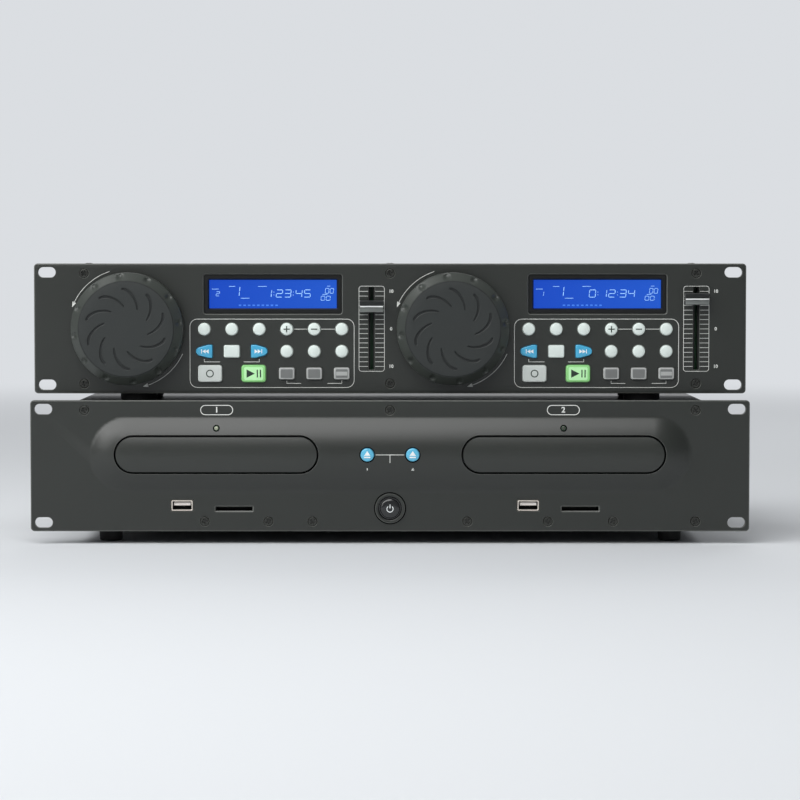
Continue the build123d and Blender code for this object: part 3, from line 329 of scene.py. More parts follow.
def bevelled(width, *rest):
    """An edge's profile: a bevel, and then the rest of the wall, as a rule down to the back."""
    return [(width, 0), (0, width), *(rest or [(0, None)])]


def bosses(shell, places, back):
    """Square bosses behind a panel, which carry its board."""
    for x, z in places:
        shell.post(x, z, boss_half, back - 0.2, back + boss_length)


# The panels' finishes: the paint, a painted highlight on the bevelled edges, painted shade in the gaps
# and holes, and a painted highlight on the rings round the screws.
PAINT, EDGE_HIGHLIGHT, GAP_SHADE, RING_HIGHLIGHT = range(4)       # a panel's finishes, in their order
panel_paint = finish("panel_paint", (36, 39, 35), 0.36, grain=(0.012, 0.45),
                     mottle=(0.07, 60.0), shine=0.68)
# A lighter copy of the panel paint for the bevels round the panels' outlines, holes and windows: a
# painted highlight where the edges catch the light.
panel_edge = finish("panel_edge", (88, 90, 86), 0.35, mottle=(0.25, 6.0))
# Near black with almost no gloss for the walls and bevels of the gaps and holes round the doors,
# buttons, lenses, screws and card slots: painted shade in the gaps.
gap_black = finish("gap_black", (10, 11, 11), 0.8, mottle=(0.15, 6.0), shine=0.05)
# A lighter metal for the top bevel of each screw hole: a painted highlight round the screw heads.
screw_rim = finish("screw_rim", (106, 108, 103), 0.3, metal=0.4, mottle=(0.3, 2.0))
panel_finishes = [panel_paint, panel_edge, gap_black, screw_rim]
panel_size = (482.6, 88.1, 2.5)          # width, height, corner
panel_depth = 3.0
panel_rim = ([(0.7, 0), (0.35, 0.1), (0.1, 0.35), (0, 0.7), (0, None)], (EDGE_HIGHLIGHT, EDGE_HIGHLIGHT, EDGE_HIGHLIGHT, PAINT))
rack_slot = (12, 7)
rack_slots_at = [(x, z) for x in (-232.55, 232.55) for z in (-38.1, 38.1)]
plain_hole = (bevelled(0.3), (EDGE_HIGHLIGHT, PAINT))
screw_row, screw_hole_width = 37.4, 6.3
# The screw holes: a painted highlight on the ring at the top, painted shade on the walls below.
screw_hole = ([(0.4, 0), (0.1, 0.3), (0, 0.6), (0, 1.5), (-1.5, 1.5), (-1.5, None)],
              (RING_HIGHLIGHT, RING_HIGHLIGHT, GAP_SHADE, GAP_SHADE, GAP_SHADE))
boss_half, boss_length = 3.0, 10.0
wheel_bosses, wheel_hole = (28, 24), 9.3
display_size = (93.6, 26.6, 1.5)
display_from_wheel = (98.0, 23.3)
fader_from_wheel, fader_slot = 165.0, (4.0, 56.0, 0.4)
key_gap = 0.35
key_shapes = {
    "mode": "round", "time": "round", "program": "round", "plus": "round", "minus": "round",
    "pitch": "round", "skip_back": "skip_back", "stop": "square", "skip_forward": "skip_forward",
    "bend_down": "round", "bend_up": "round", "search": "round", "cue": "wide", "play": "wide",
    "loop_in": "loop", "loop_out": "loop", "reloop": "loop",
}
key_sizes = {"round": (8.35, None, None, 9), "square": (10.6, 8.3, 1.1), "wide": (16.1, 11.3, 1.8),
             "loop": (10.6, 8.0, 1.3)}   # width, height, corner, steps of a quarter turn
skip_key = (11.0, 8.7, 2.8, 3.0)         # length, height, radius of the nose, length of the base


def key_outline(shape, x=0.0, z=0.0):
    """The outline of a key's cap about its middle."""
    if shape in key_sizes:
        return rounded(x, z, *key_sizes[shape])
    length, height, nose, base = skip_key
    centre, corner = length / 2 - nose, base - length / 2
    reach = math.hypot(centre - corner, height / 2)
    meet = math.atan2(height / 2, corner - centre) - math.acos(nose / reach)
    tip = polar(centre, 0, nose, np.linspace(-meet, meet, 17))
    rear = [(corner, height / 2), (-length / 2 + 0.5, height / 2), (-length / 2, height / 2 - 0.5),
            (-length / 2, 0.5 - height / 2), (0.5 - length / 2, -height / 2), (corner, -height / 2)]
    loop = np.concatenate([tip, rear])
    if shape == "skip_back":
        loop = loop[::-1] * (-1, 1)
    return loop + (x, z)


controller_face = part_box("controller_front_panel")[0].y / MM
controller_back = controller_face + panel_depth
controller_middle = middle("controller_front_panel")[1]
wheels_x = [middle(f"jog_wheel_{deck}")[0] for deck in (1, 2)]
controller_screws_at = [(x, controller_middle + z) for x in (-207.4, 0, 207.4)
                        for z in (-screw_row, screw_row)]
holes = [(rounded(x, controller_middle + z, *rack_slot), *plain_hole) for x, z in rack_slots_at]
holes += [(rounded(x, z, screw_hole_width), *screw_hole)
          for x, z in controller_screws_at]
for deck, wheel_x in enumerate(wheels_x, start=1):
    for key, shape in key_shapes.items():
        loop = grown(key_outline(shape, *middle(f"{key}_key_{deck}")), key_gap)
        holes.append((loop, *plain_hole))
    holes.append((rounded(wheel_x, controller_middle, wheel_hole), *plain_hole))
    holes.append((rounded(wheel_x + fader_from_wheel, controller_middle, *fader_slot), *plain_hole))
    window = rounded(wheel_x + display_from_wheel[0], controller_middle + display_from_wheel[1],
                     *display_size)
    holes.append((window, bevelled(0.7), (EDGE_HIGHLIGHT, PAINT)))
shell = Shell()
plate(shell, (rounded(0, controller_middle, *panel_size), *panel_rim), holes,
      flat_at(controller_face), controller_back)
bosses(shell, [(wheel_x + across * wheel_bosses[0], controller_middle + up * wheel_bosses[1])
               for wheel_x in wheels_x for across in (-1, 1) for up in (-1, 1)], controller_back)
shell.piece("control_panel", panel_finishes, "controller", "panel", ["controller_front_panel"])

# ---------------------------------------------------------------- drive unit's front panel
# The same rack panel with a long rounded cushion pressed out of it, blending softly into the
# plate. The two doors lie in the cushion, and the power button in a collar below it.
player_face = controller_face - 24.0
player_back = player_face + panel_depth
player_middle = controller_middle - 91.6
spine_half, spine_z = 176.75, player_middle + 7.9
crown_radius, crown_rise, blend_width = 40.75, 8.0, 1.3


def cushion_height(x, z):
    """How far the cushion stands off the plate, and how fast that falls away from its spine."""
    past = np.maximum(np.abs(x) - spine_half, 0.0)
    away = np.hypot(past, z - spine_z)
    held = np.minimum(away, crown_radius - 2.0)
    round_top = np.sqrt(crown_radius**2 - held**2)
    height = round_top - crown_radius + crown_rise
    soft = np.clip((height + blend_width) / (2 * blend_width), 0.0, 1.0)
    lift = np.where(height > blend_width, height, blend_width * soft**2)
    slope = np.where(height > blend_width, 1.0, soft) * held / round_top
    return lift, slope, past, away


def cushion_front(x, z):
    return player_face - cushion_height(x, z)[0]


def cushion_lean(x, z):
    """Which way the surface faces at a point."""
    lift, slope, past, away = [float(part) for part in cushion_height(np.array(x), np.array(z))]
    fall = slope / max(away, 1e-6)
    return Vector((fall * past * math.copysign(1, x), -1.0, fall * (z - spine_z))).normalized()


def surface_points(loop, keep_off, spacing=2.2):
    """A grid of points within an outline, kept off other outlines' edges."""
    low, high = loop.min(axis=0), loop.max(axis=0)
    x, z = np.meshgrid(np.arange(low[0], high[0], spacing), np.arange(low[1], high[1], spacing))
    grid = np.stack([x.ravel(), z.ravel()], axis=1)
    grid = grid[inside(grid, loop)]
    edges = np.concatenate(keep_off)
    near = np.array([np.hypot(*(edges - p).T).min() for p in grid])
    return grid[near > 0.45 * spacing]


trays_x = [middle(f"tray_door_{deck}")[0] for deck in (1, 2)]
ejects_x = [middle(f"eject_button_{deck}")[0] for deck in (1, 2)]
door_opening, eject_opening, led_opening = (136.3, 25.2), 9.5, 3.2
led_z = player_middle + 25.5
usb_from_tray, usb_z, usb_size, usb_opening = -23.4, player_middle - 26.7, (14.3, 7.1), (15.1, 7.9, 0.8)
card_from_tray, card_z, card_size = 11.5, player_middle - 28.9, (24.8, 2.7)
(power_x, power_z), power_opening = middle("power_button"), 15.8
player_screws_at = [(x, player_middle + screw_row) for x in (-205, 0, 205)] + [
    (x, player_middle - screw_row) for x in (-124.4, -81.7, -52.0, 52.0, 106.0, 149.8, 205.0)]
outer_bosses_x, inner_bosses_x, upper_bosses, lower_bosses = 194, 45, 30, -22
# In these profiles the near-black bands are painted shade in the gaps round the doors, lenses, card
# slots, eject buttons and power collar, and the light bands are a painted highlight on the edges.
door_rim = ([(0.65, 0), (0.45, 0.12), (0.15, 0.35), (0, 0.6), (0, None)], (EDGE_HIGHLIGHT, GAP_SHADE, GAP_SHADE, GAP_SHADE))
led_rim = ([(0.7, 0), (0.2, 0.35), (0, 0.8), (0, None)], (GAP_SHADE, GAP_SHADE, GAP_SHADE))
card_rim = ([(0.9, 0), (0, 0.7), (0, None)], (EDGE_HIGHLIGHT, GAP_SHADE))
collar = ([(2.9, 0), (2.25, -0.2), (2.1, -0.5), (2.1, -1.2), (1.97, -1.5), (1.7, -1.6), (0.6, -1.5),
           (0.15, -1.3), (0, -0.9), (0, None)],
          (GAP_SHADE, PAINT, PAINT, PAINT, EDGE_HIGHLIGHT, PAINT, PAINT, PAINT, GAP_SHADE))
holes = [(rounded(x, player_middle + z, *rack_slot), *plain_hole) for x, z in rack_slots_at]
holes += [(rounded(x, z, screw_hole_width), *screw_hole) for x, z in player_screws_at]
for tray_x in trays_x:
    holes += [(rounded(tray_x, spine_z, *door_opening, steps=16), *door_rim),
              (rounded(tray_x, led_z, led_opening), *led_rim),
              (rounded(tray_x + usb_from_tray, usb_z, *usb_opening), *plain_hole),
              (rounded(tray_x + card_from_tray, card_z, *card_size, 0.3), *card_rim)]
holes += [(rounded(eject_x, spine_z, eject_opening), bevelled(0.5), (GAP_SHADE, GAP_SHADE))
          for eject_x in ejects_x]
holes.append((rounded(power_x, power_z, power_opening, steps=12), *collar))
pocket = rounded(0, spine_z, 384.0, 30.5, steps=12)
soft_zone = rounded(0, spine_z, 2 * spine_half + 54.0, 54.0, steps=24)
edges = [grown(loop, profile[0][0]) for loop, profile, kinds in holes]
grid = surface_points(soft_zone, edges)
for loop in edges:
    grid = grid[~inside(grid, loop)]
shell = Shell()
plate(shell, (rounded(0, player_middle, *panel_size), *panel_rim), holes, cushion_front, player_back,
      (pocket, player_back - 6.0), grid, True)
bosses(shell, [(side * outer_bosses_x, player_middle + upper_bosses) for side in (-1, 1)]
       + [(side * x, player_middle + lower_bosses) for side in (-1, 1)
          for x in (outer_bosses_x, inner_bosses_x)], player_back)
shell.piece("drive_panel", panel_finishes, "player", "panel", ["player_front_panel"],
            lean=cushion_lean)

# ---------------------------------------------------------------- tray doors and trays
# Each door is moulded to the cushion's own curve, so it lies flush when it is shut, and is
# clipped to the front of its tray. The trays are smooth black plastic.
door_size, door_wall, door_hollow = (135.3, 24.2), 3.0, 4.5
door_edge = [(0.45, 0), (0.15, 0.15), (0, 0.45), (0, None)]
door_paint = finish("door_paint", (39, 42, 38), 0.36, grain=(0.01, 0.45), mottle=(0.06, 60.0),
                    shine=0.68)
tray_width, tray_length, tray_above = 130.0, 175.0, 3.0
tray_layers = ((121.5, 0.0, 1.8), (82.0, 1.8, 3.5), (40.0, 3.5, 5.0))    # hole, from, to
tray_edge = [(0.35, 0), (0.1, 0.1), (0, 0.35), (0, None)]
tray_wall = 2.0                          # how much the door overlaps the wall behind it
rail_half, rail_drop = (2.5, 1.55), 6.45     # its middle lies this far below the tray's face
straight = [(0, 0), (0, None)]           # an edge's profile without a bevel
spindle_slot, disc_from_front = 40.0, 68.25
tray_plastic = finish("tray_plastic", (40, 41, 42), 0.45, grain=(0.01, 0.5))


def keyhole(x, front, hole):
    """A tray layer's outline from above: a plate with a round hole and the slot behind it."""
    half, rear, slot = tray_width / 2, front + tray_length, spindle_slot / 2
    centre = front + disc_from_front
    rim = min(slot / (hole / 2), 1.0)
    first, last = math.pi / 2 - math.asin(rim), -1.5 * math.pi + math.asin(rim)
    ring = polar(x, centre, hole / 2, np.linspace(first, last, 97))
    return np.array([(x - half, rear), (x - half, front + 0.5), (x + half, front + 0.5),
                     (x + half, rear), (x + slot, rear), *ring, (x - slot, rear)])


def lying(x, y, z):
    """Tips what faces forwards over, so that it faces up."""
    return x, z, -y


def tray_plate(shell, x, top):
    for hole, upper, lower in tray_layers:
        plate(shell, (keyhole(x, player_face, hole), tray_edge, (0, 0, 0)), [], flat_at(upper - top),
              lower - top + (0.03 if hole > spindle_slot else 0))


for deck, tray_x in enumerate(trays_x, start=1):
    loop = rounded(tray_x, spine_z, *door_size, steps=16)
    grid = surface_points(loop, [grown(loop, -door_edge[0][0])])
    hollow = rounded(tray_x, spine_z, *[size - 2 * door_wall for size in door_size], steps=12)
    shell = Shell()
    # The door's bevel and edge take the near-black finish: painted shade in the gap round the door.
    plate(shell, (loop, door_edge, (2, 2, 0)), [], cushion_front, player_face,
          (hollow, player_face - door_hollow), grid, True)
    shell.piece(f"tray_door_skin_{deck}", [door_paint, panel_edge, gap_black], f"tray_{deck}",
                "door", [f"tray_door_{deck}"], lean=cushion_lean)
    shell = Shell()
    shell.moved(lambda: tray_plate(shell, tray_x, spine_z + tray_above), lying)
    front_wall = rounded(tray_x, spine_z, *[size - 2 * tray_wall for size in door_size], steps=12)
    plate(shell, (front_wall, straight, (0,)), [], flat_at(player_face), player_back)
    for side in (-1, 1):
        shell.post(tray_x + side * (tray_width / 2 - rail_half[0]), spine_z + tray_above - rail_drop,
                   rail_half, player_face + 0.5, player_face + tray_length)
    shell.piece(f"tray_shape_{deck}", [tray_plastic], f"tray_{deck}", "tray", [f"tray_{deck}"])

# ---------------------------------------------------------------- printed lines and figures
# White lines are silk-screened on both panels: frames round the keys and faders, arrows round
# the wheels, brackets under the keys, and plain figures.
print_white = finish("print_white", (225, 227, 222), 0.6, mottle=(0.05, 2.0))
ink, foot = 0.05, 0.02                   # how far a print stands off, and how far it reaches in
line, frame_line, eject_line, pill_line = 0.34, 0.3, 0.42, 0.5
arrows, arrow_radius, arrow_half = ((108, 155), (-25, -72)), 40.6, 1.3
arrow_tip, arrow_root = 4.2, 1.0         # past and before an arrow's end, in degrees
key_columns = [51.5 + 18.64 * column for column in range(6)]
brackets = ((0, 2, -22.6, 8.0), (3, 5, -37.2, 9.0))      # columns, height, half of the gap
bracket_rise, dash_gap, dash_up = 1.9, 4.7, -0.4
keys_frame, keys_frame_at = (111.3, 46.4, 5.0), (97.45, -16.8)
fader_frame, fader_frame_up = (17.2, 57.7, 1.8), -0.15
fader_figures, fader_figures_x = (("10", 25.2), ("0", -0.3), ("10", -25.7)), 178.2
pill_size, pill_z = (21.5, 6.3), player_middle + 37.5
eject_figures_z, eject_line_gap, eject_drop = player_middle - 1.3, 5.6, (0.2, 2.8, 5.4)
figure_thickness = 0.035


def beside(path, half):
    """The lines along both sides of an open path."""
    ahead = np.gradient(path, axis=0)
    ahead /= np.linalg.norm(ahead, axis=1)[:, None]
    side = np.stack([-ahead[:, 1], ahead[:, 0]], axis=1) * half
    return path + side, path - side


def ribbon(shell, path, width, surface, closed=False, kind=0):
    """A printed line along a path on a surface."""
    path, half = np.array(path, float), width / 2
    left, right = (grown(path, -half), grown(path, half)) if closed else beside(path, half)
    rows = [standing(side, surface(*side.T) + depth)
            for side, depth in ((left, -ink), (right, -ink), (right, foot), (left, foot))]
    shell.wall([*rows, rows[0]], [kind] * 4, closed)
    for end in () if closed else (0, -1):
        shell.add([row[end] for row in rows], [(0, 1, 2, 3)], kind)


def patch(shell, loop, surface, kind=0, height=ink):
    """A printed or moulded area within an outline."""
    loop = np.array(loop, float)
    level = surface(*loop.T)
    shell.solid([standing(loop, level - height), standing(loop, level + foot)], [kind])


def level_at(surface, x, z):
    return float(surface(np.array([x]), np.array([z]))[0])


def figures(shell, text, x, z, height, surface):
    """Plain figures about a middle, as a closed shape on the surface."""
    curve = bpy.data.curves.new("figures", "FONT")
    curve.body, curve.align_x, curve.align_y = text, "CENTER", "CENTER"
    curve.size, curve.extrude, curve.resolution_u = height / 0.7, figure_thickness, 4
    curve.offset = 0.035 * height
    obj = bpy.data.objects.new("figures", curve)
    scene.collection.objects.link(obj)
    bpy.context.view_layer.update()
    mesh = bpy.data.meshes.new_from_object(obj.evaluated_get(bpy.context.evaluated_depsgraph_get()))
    level = level_at(surface, x, z) - ink + figure_thickness
    shell.add([(x + v.co.x, level - v.co.z, z + v.co.y) for v in mesh.vertices],
              [tuple(face.vertices) for face in mesh.polygons])
    bpy.data.objects.remove(obj)
    bpy.data.curves.remove(curve)
    bpy.data.meshes.remove(mesh)


on_panel = flat_at(controller_face)
shell, z = Shell(), controller_middle
for wheel_x in wheels_x:
    for start, end in arrows:
        way = 1 if end > start else -1
        ribbon(shell, polar(wheel_x, z, arrow_radius, np.radians(np.linspace(start, end, 25))), line,
               on_panel)
        head = polar(wheel_x, z, arrow_radius + arrow_half * np.array((0, 1, -1)), np.radians(
            end + way * np.array((arrow_tip, -arrow_root, -arrow_root))))
        patch(shell, head[::way], on_panel)
    border = rounded(wheel_x + keys_frame_at[0], z + keys_frame_at[1], *keys_frame)
    ribbon(shell, border, line, on_panel, True)
    border = rounded(wheel_x + fader_from_wheel, z + fader_frame_up, *fader_frame)
    ribbon(shell, border, frame_line, on_panel, True)
    strokes = []
    for first, last, up, gap in brackets:
        centre = (key_columns[first] + key_columns[last]) / 2
        for near, way in ((key_columns[first], 1), (key_columns[last], -1)):
            strokes += [((near, up + bracket_rise), (near, up + 0.1)),
                        ((near - way * line / 2, up), (centre - way * gap, up))]
    strokes += [((near + dash_gap, dash_up), (far - dash_gap, dash_up))
                for near, far in (key_columns[3:5], key_columns[4:])]
    for stroke in strokes:
        ribbon(shell, np.array(stroke) + (wheel_x, z), line, on_panel)
    for text, up in fader_figures:
        figures(shell, text, wheel_x + fader_figures_x, z + up, 2.2, on_panel)
shell.piece("control_panel_print", [print_white], "controller", "panel")

shell = Shell()
for deck, (tray_x, eject_x) in enumerate(zip(trays_x, ejects_x), start=1):
    ribbon(shell, rounded(tray_x, pill_z, *pill_size, steps=8), pill_line, cushion_front, True)
    figures(shell, str(deck), tray_x, pill_z, 3.7, cushion_front)
    figures(shell, str(deck), eject_x, eject_figures_z, 2.8, cushion_front)
near, far = ejects_x[0] + eject_line_gap, ejects_x[1] - eject_line_gap
for path in ([(x, spine_z) for x in np.linspace(near, far, 12)],
             [(0, spine_z - down) for down in eject_drop]):
    ribbon(shell, path, eject_line, cushion_front)
shell.piece("drive_panel_print", [print_white], "player", "panel")

# ---------------------------------------------------------------- fader scales
# A printed scale of seventeen strokes runs down each side of a fader's slot.


class Rule:
    """A number inside a node tree, so that a rule can be written as a sum."""

    def __init__(self, tree, socket):
        self.tree, self.socket = tree, socket

    def work(self, operation, *others):
        terms = dict(enumerate((self, *others)))
        return Rule(self.tree, self.tree.node("ShaderNodeMath", terms, operation=operation).outputs[0])

    def __add__(self, other):
        return self.work("ADD", other)

    def __sub__(self, other):
        return self.work("SUBTRACT", other)

    def __mul__(self, other):
        return self.work("MULTIPLY", other)

    def __truediv__(self, other):
        return self.work("DIVIDE", other)


class Tree(Wiring):
    """A geometry tree with named inputs, whose result becomes a plain mesh."""

    def __init__(self, name, inputs):
        super().__init__(bpy.data.node_groups.new(name, "GeometryNodeTree"))
        sockets = [("Geometry", "Geometry", "INPUT"), *[(*item, "INPUT") for item in inputs.items()],
                   ("Geometry", "Geometry", "OUTPUT")]
        for label, kind, way in sockets:
            self.tree.interface.new_socket(label, in_out=way, socket_type=f"NodeSocket{kind}")
        self.given, self.end = self.node("NodeGroupInput").outputs, self.node("NodeGroupOutput")

    def number(self, label):
        return Rule(self, self.given[label])

    def close(self, geometry, label):
        """Ends in plain geometry with its finish on."""
        real = self.node("GeometryNodeRealizeInstances", {"Geometry": geometry})
        self.feed(self.end, {0: self.node("GeometryNodeSetMaterial",
                                          {"Geometry": real, "Material": self.given[label]})})

    def grow(self, obj, values):
        """Runs the tree on an object and keeps the result as its mesh."""
        scene.collection.objects.link(obj)
        modifier = obj.modifiers.new("rule", "NODES")
        modifier.node_group = self.tree
        for item in self.tree.interface.items_tree:
            if item.in_out == "INPUT" and item.name in values:
                modifier[item.identifier] = values[item.name]
        bpy.context.view_layer.update()
        obj.update_tag()
        made = bpy.data.meshes.new_from_object(
            obj.evaluated_get(bpy.context.evaluated_depsgraph_get()))
        obj.modifiers.remove(modifier)
        obj.data = made
        return obj


def points_object(name, points, turns=()):
    """An object of loose points, each with the turn of what stands on it."""
    mesh = bpy.data.meshes.new(name)
    mesh.from_pydata([tuple(c * MM for c in p) for p in points], [], [])
    if turns:
        turn = mesh.attributes.new("turn", "FLOAT_VECTOR", "POINT")
        turn.data.foreach_set("vector", np.array(turns, np.float32).ravel())
    return bpy.data.objects.new(name, mesh)


scale = Tree("fader_scale", {"Strokes": "Int", "Pitch": "Float", "Stroke size": "Vector",
                             "Ink": "Material"})
down = scale.node("ShaderNodeCombineXYZ", {"Z": scale.number("Pitch") * -1.0})
run = scale.node("GeometryNodeMeshLine", {"Count": scale.given["Strokes"], "Offset": down})
rows = scale.node("GeometryNodeInstanceOnPoints",
                  {"Points": scale.given["Geometry"], "Instance": run})
spots = scale.node("GeometryNodeRealizeInstances", {"Geometry": rows})
stroke = scale.node("GeometryNodeMeshCube", {"Size": scale.given["Stroke size"]})
scale.close(scale.node("GeometryNodeInstanceOnPoints", {"Points": spots, "Instance": stroke}), "Ink")
stroke_count, stroke_pitch, stroke_size = 17, 3.18, (6.0, 0.07, 0.28)
scale_from_fader, scale_top = 5.4, 25.2
tops = [(wheel_x + fader_from_wheel + side * scale_from_fader, controller_face - 0.015,
         controller_middle + scale_top) for wheel_x in wheels_x for side in (-1, 1)]
scales = scale.grow(points_object("fader_scales", tops), {
    "Strokes": stroke_count, "Pitch": stroke_pitch * MM,
    "Stroke size": [size * MM for size in stroke_size], "Ink": print_white})
finished(scales, "controller")

# ---------------------------------------------------------------- screws
# Black steel screws with a cross recess: flush heads in the panels' faces, and pan heads on the
# cases' tops, bottoms and sides. Each is left at the turn it stopped at.
screw_steel = finish("screw_black_oxide", (62, 63, 60), 0.28, metal=0.5, mottle=(0.35, 2.0))
head_width, head_radius, cross_reach, cross_half = 5.9, 3.0, 1.9, 0.6
shank_width, shank_from, shank_to = 3.0, 1.5, 6.0
dome_height, dome_fall = 2.0, 0.5


def corners(node):
    """A node's lowest and highest corners, in millimetres."""
    return [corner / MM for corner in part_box(node)]


def pan_dome(x, z):
    """The low dome of a pan head."""
    return dome_fall * (np.hypot(x, z) / head_radius) ** 2 - dome_height


cross, arm = [], [(cross_reach, -cross_half), (cross_reach, cross_half), (cross_half, cross_half)]
while len(cross) < 12:
    cross += arm
    arm = [(-z, x) for x, z in arm]
recess = (np.array(cross), [(0.1, 0), (0, 0.1), (-0.1, 1.3)], (0, 0))
head_outline = rounded(0, 0, head_width)
shell = Shell()
plate(shell, (head_outline, [(0.35, 0), (0.1, 0.1), (0, 0.3), (0, None)], (0, 0, 0)), [recess],
      flat_at(0.0), shank_from)
shank = rounded(0, 0, shank_width, steps=2)
shell.solid([standing(shank, y) for y in (shank_from, shank_to)])
flush_head = shell.piece("flush_head", [screw_steel], "player", "screw")
shell = Shell()
plate(shell, (head_outline, [(0.55, 0), (0.3, 0.25), (0.1, 0.6), (0, 1.0), (0, None)], (0,) * 4),
      [recess], pan_dome, 0.0, grid=rounded(0, 0, 3.9, steps=3))
pan_head = shell.piece("pan_head", [screw_steel], "player", "screw")

screws = Tree("screws", {"Head": "Object", "Seed": "Int", "Steel": "Material"})
facing = screws.node("GeometryNodeInputNamedAttribute", {"Name": "turn"}, data_type="FLOAT_VECTOR")
chance = screws.node("FunctionNodeRandomValue", {"Seed": screws.given["Seed"], 3: math.pi})
spin = screws.node("ShaderNodeCombineXYZ", {"Y": chance.outputs[1]})
aim, spun = [screws.node("FunctionNodeEulerToRotation", {0: turn}) for turn in (facing, spin)]
both = screws.node("FunctionNodeRotateRotation", {0: aim, 1: spun}, rotation_space="LOCAL")
head = screws.node("GeometryNodeObjectInfo", {"Object": screws.given["Head"]})
screws.close(screws.node("GeometryNodeInstanceOnPoints", {
    "Points": screws.given["Geometry"], "Instance": head.outputs["Geometry"],
    "Rotation": both}), "Steel")

quarter = math.pi / 2
controller_low, controller_high = corners("controller_housing")
player_high = corners("player_top_cover")[1]
case_screw_y, cover_screws_y = controller_back + 8.0, (-88.25, 91.75)
screw_sets = {
    "player": ([(x, player_face, z) for x, z in player_screws_at],
               [((side * player_high.x, y, player_middle), (0, 0, side * quarter))
                for side in (-1, 1) for y in cover_screws_y]),
    "controller": ([(x, controller_face, z) for x, z in controller_screws_at],
                   [((x, case_screw_y, z), (side * quarter, 0, 0)) for x in (-205, 0, 205)
                    for side, z in ((1, controller_low.z), (-1, controller_high.z))]),
}
for body, (flush, proud) in screw_sets.items():
    for template, points, turns, seed in (
            (flush_head, flush, [(0, 0, 0)] * len(flush), 3), (pan_head, *zip(*proud), 8)):
        made = screws.grow(points_object(f"{body}_{template.name}s", points, turns),
                           {"Head": template, "Seed": seed, "Steel": screw_steel})
        finished(made, body, [f"{body}_screws"] if template is flush_head else ())
for template in (flush_head, pan_head):
    bpy.data.objects.remove(template)

# ---------------------------------------------------------------- jog wheels
# A turned wheel of hard black plastic with twelve finger dimples in its shoulder, and a soft pad
# with ten curved grooves glued into its front. Each turns on its own shaft.


def turned(shell, x, z, profile, steps=96, kinds=None):
    """A shape turned about an axis that runs back from (x, z): steps of (radius, depth)."""
    angles = np.linspace(0, 2 * math.pi, steps, endpoint=False)
    shell.solid([standing(polar(x, z, radius, angles), y) for radius, y in profile], kinds)


def eased(points, radius, steps=4):
    """A profile whose inner corners are rounded."""
    made = [points[0]]
    for before, corner, after in zip(points, points[1:], points[2:]):
        corner = np.array(corner, float)
        into, out = np.array(before) - corner, np.array(after) - corner
        reach = min(radius, np.linalg.norm(into) / 2, np.linalg.norm(out) / 2)
        start, end = [corner + way / np.linalg.norm(way) * reach for way in (into, out)]
        for share in np.linspace(0, 1, steps + 1):
            rest = 1 - share
            made.append(tuple(rest**2 * start + 2 * share * rest * corner + share**2 * end))
    return [*made, points[-1]]


dimples = Tree("wheel_dimples", {"Middle across": "Float", "Middle up": "Float", "Count": "Float",
                                 "Circle": "Float", "Width": "Float", "Depth": "Float",
                                 "Turn": "Float", "Shoulder": "Float", "Plastic": "Material"})
parts = dimples.node("ShaderNodeSeparateXYZ", {0: dimples.node("GeometryNodeInputPosition")}).outputs
x, y, z = (Rule(dimples, part) for part in parts)
across, up = x - dimples.number("Middle across"), z - dimples.number("Middle up")
radius = (across * across + up * up).work("SQRT")
angle = up.work("ARCTAN2", across) - dimples.number("Turn")
whole_turn = Rule(dimples, dimples.node("ShaderNodeValue").outputs[0])
whole_turn.socket.default_value = 2 * math.pi
step = whole_turn / dimples.number("Count")
folded = angle - (angle / step).work("ROUND") * step
off_x = radius * folded.work("COSINE") - dimples.number("Circle")
off_z = radius * folded.work("SINE")
away = (off_x * off_x + off_z * off_z).work("SQRT") / dimples.number("Width")
bowl = (away * away * -1.0 + 1.0).work("MAXIMUM", 0.0)
sunk = bowl * dimples.number("Depth") * y.work("LESS_THAN", dimples.number("Shoulder"))
move = dimples.node("ShaderNodeCombineXYZ", {"Y": sunk})
dimples.close(dimples.node("GeometryNodeSetPosition", {"Geometry": dimples.given["Geometry"],
                                                       "Offset": move}), "Plastic")

wheel_plastic = finish("wheel_plastic", (58, 62, 58), 0.38, grain=(0.012, 0.4), mottle=(0.07, 20.0))
pad_rubber = finish("pad_rubber", (38, 42, 41), 0.55, grain=(0.02, 0.5), mottle=(0.06, 15.0))
# A darker copy of the pad's rubber for the walls of the grooves and the pad's rim: painted shade in the
# grooves and round the pad.
groove_rubber = finish("groove_rubber", (26, 29, 29), 0.7, mottle=(0.1, 2.0))
shoulder_steps = [(37.8 - 5.2 * t, -11.3 - 5.7 * t) for t in np.linspace(0, 1, 15)]
rim_profile = [(0, 12), (3, 12), (3, -3.2), (7, -3.2), (7, -11), (33, -11),
               *eased([(33, -11), (33, -1), (38, -1), (38, -6)], 0.5)[1:-1], (38, -4), (38, -7),
               (38, -10), (37.95, -10.8), *shoulder_steps, (0, -17)]
dimple_circle, dimple_width, dimple_depth, first_dimple, shoulder_from = 35.3, 2.3, 1.9, 7.0, -11.0
pad_width, pad_front, pad_back = 64.6, -18.0, -16.9
pad_edge = [(0.6, 0), (0.25, 0.08), (0.06, 0.28), (0, 0.6), (0, None)]
groove_edge = [(0.32, 0), (0.05, 0.2), (-0.02, 0.6)]
grooves_from = [131.3 + 36 * n for n in range(10)]       # in degrees
groove_sweep, groove_outer, groove_way = 37.0, 27.0, 16.0


def groove_outline(x, z, start):
    """The curved drop shape of one groove in a pad."""
    along = np.linspace(0.0, 1.0, 19)
    spine = polar(x, z, groove_outer - groove_way * (np.hypot(along, 0.3) - 0.3),
                  np.radians(start - groove_sweep * along))
    half = 0.28 + 0.58 * np.sqrt(np.clip(1 - along, 0, 1) * np.clip(6 * along + 0.15, 0, 1))
    left, right = beside(spine, half[:, None])
    return np.concatenate([right, left[::-1]])


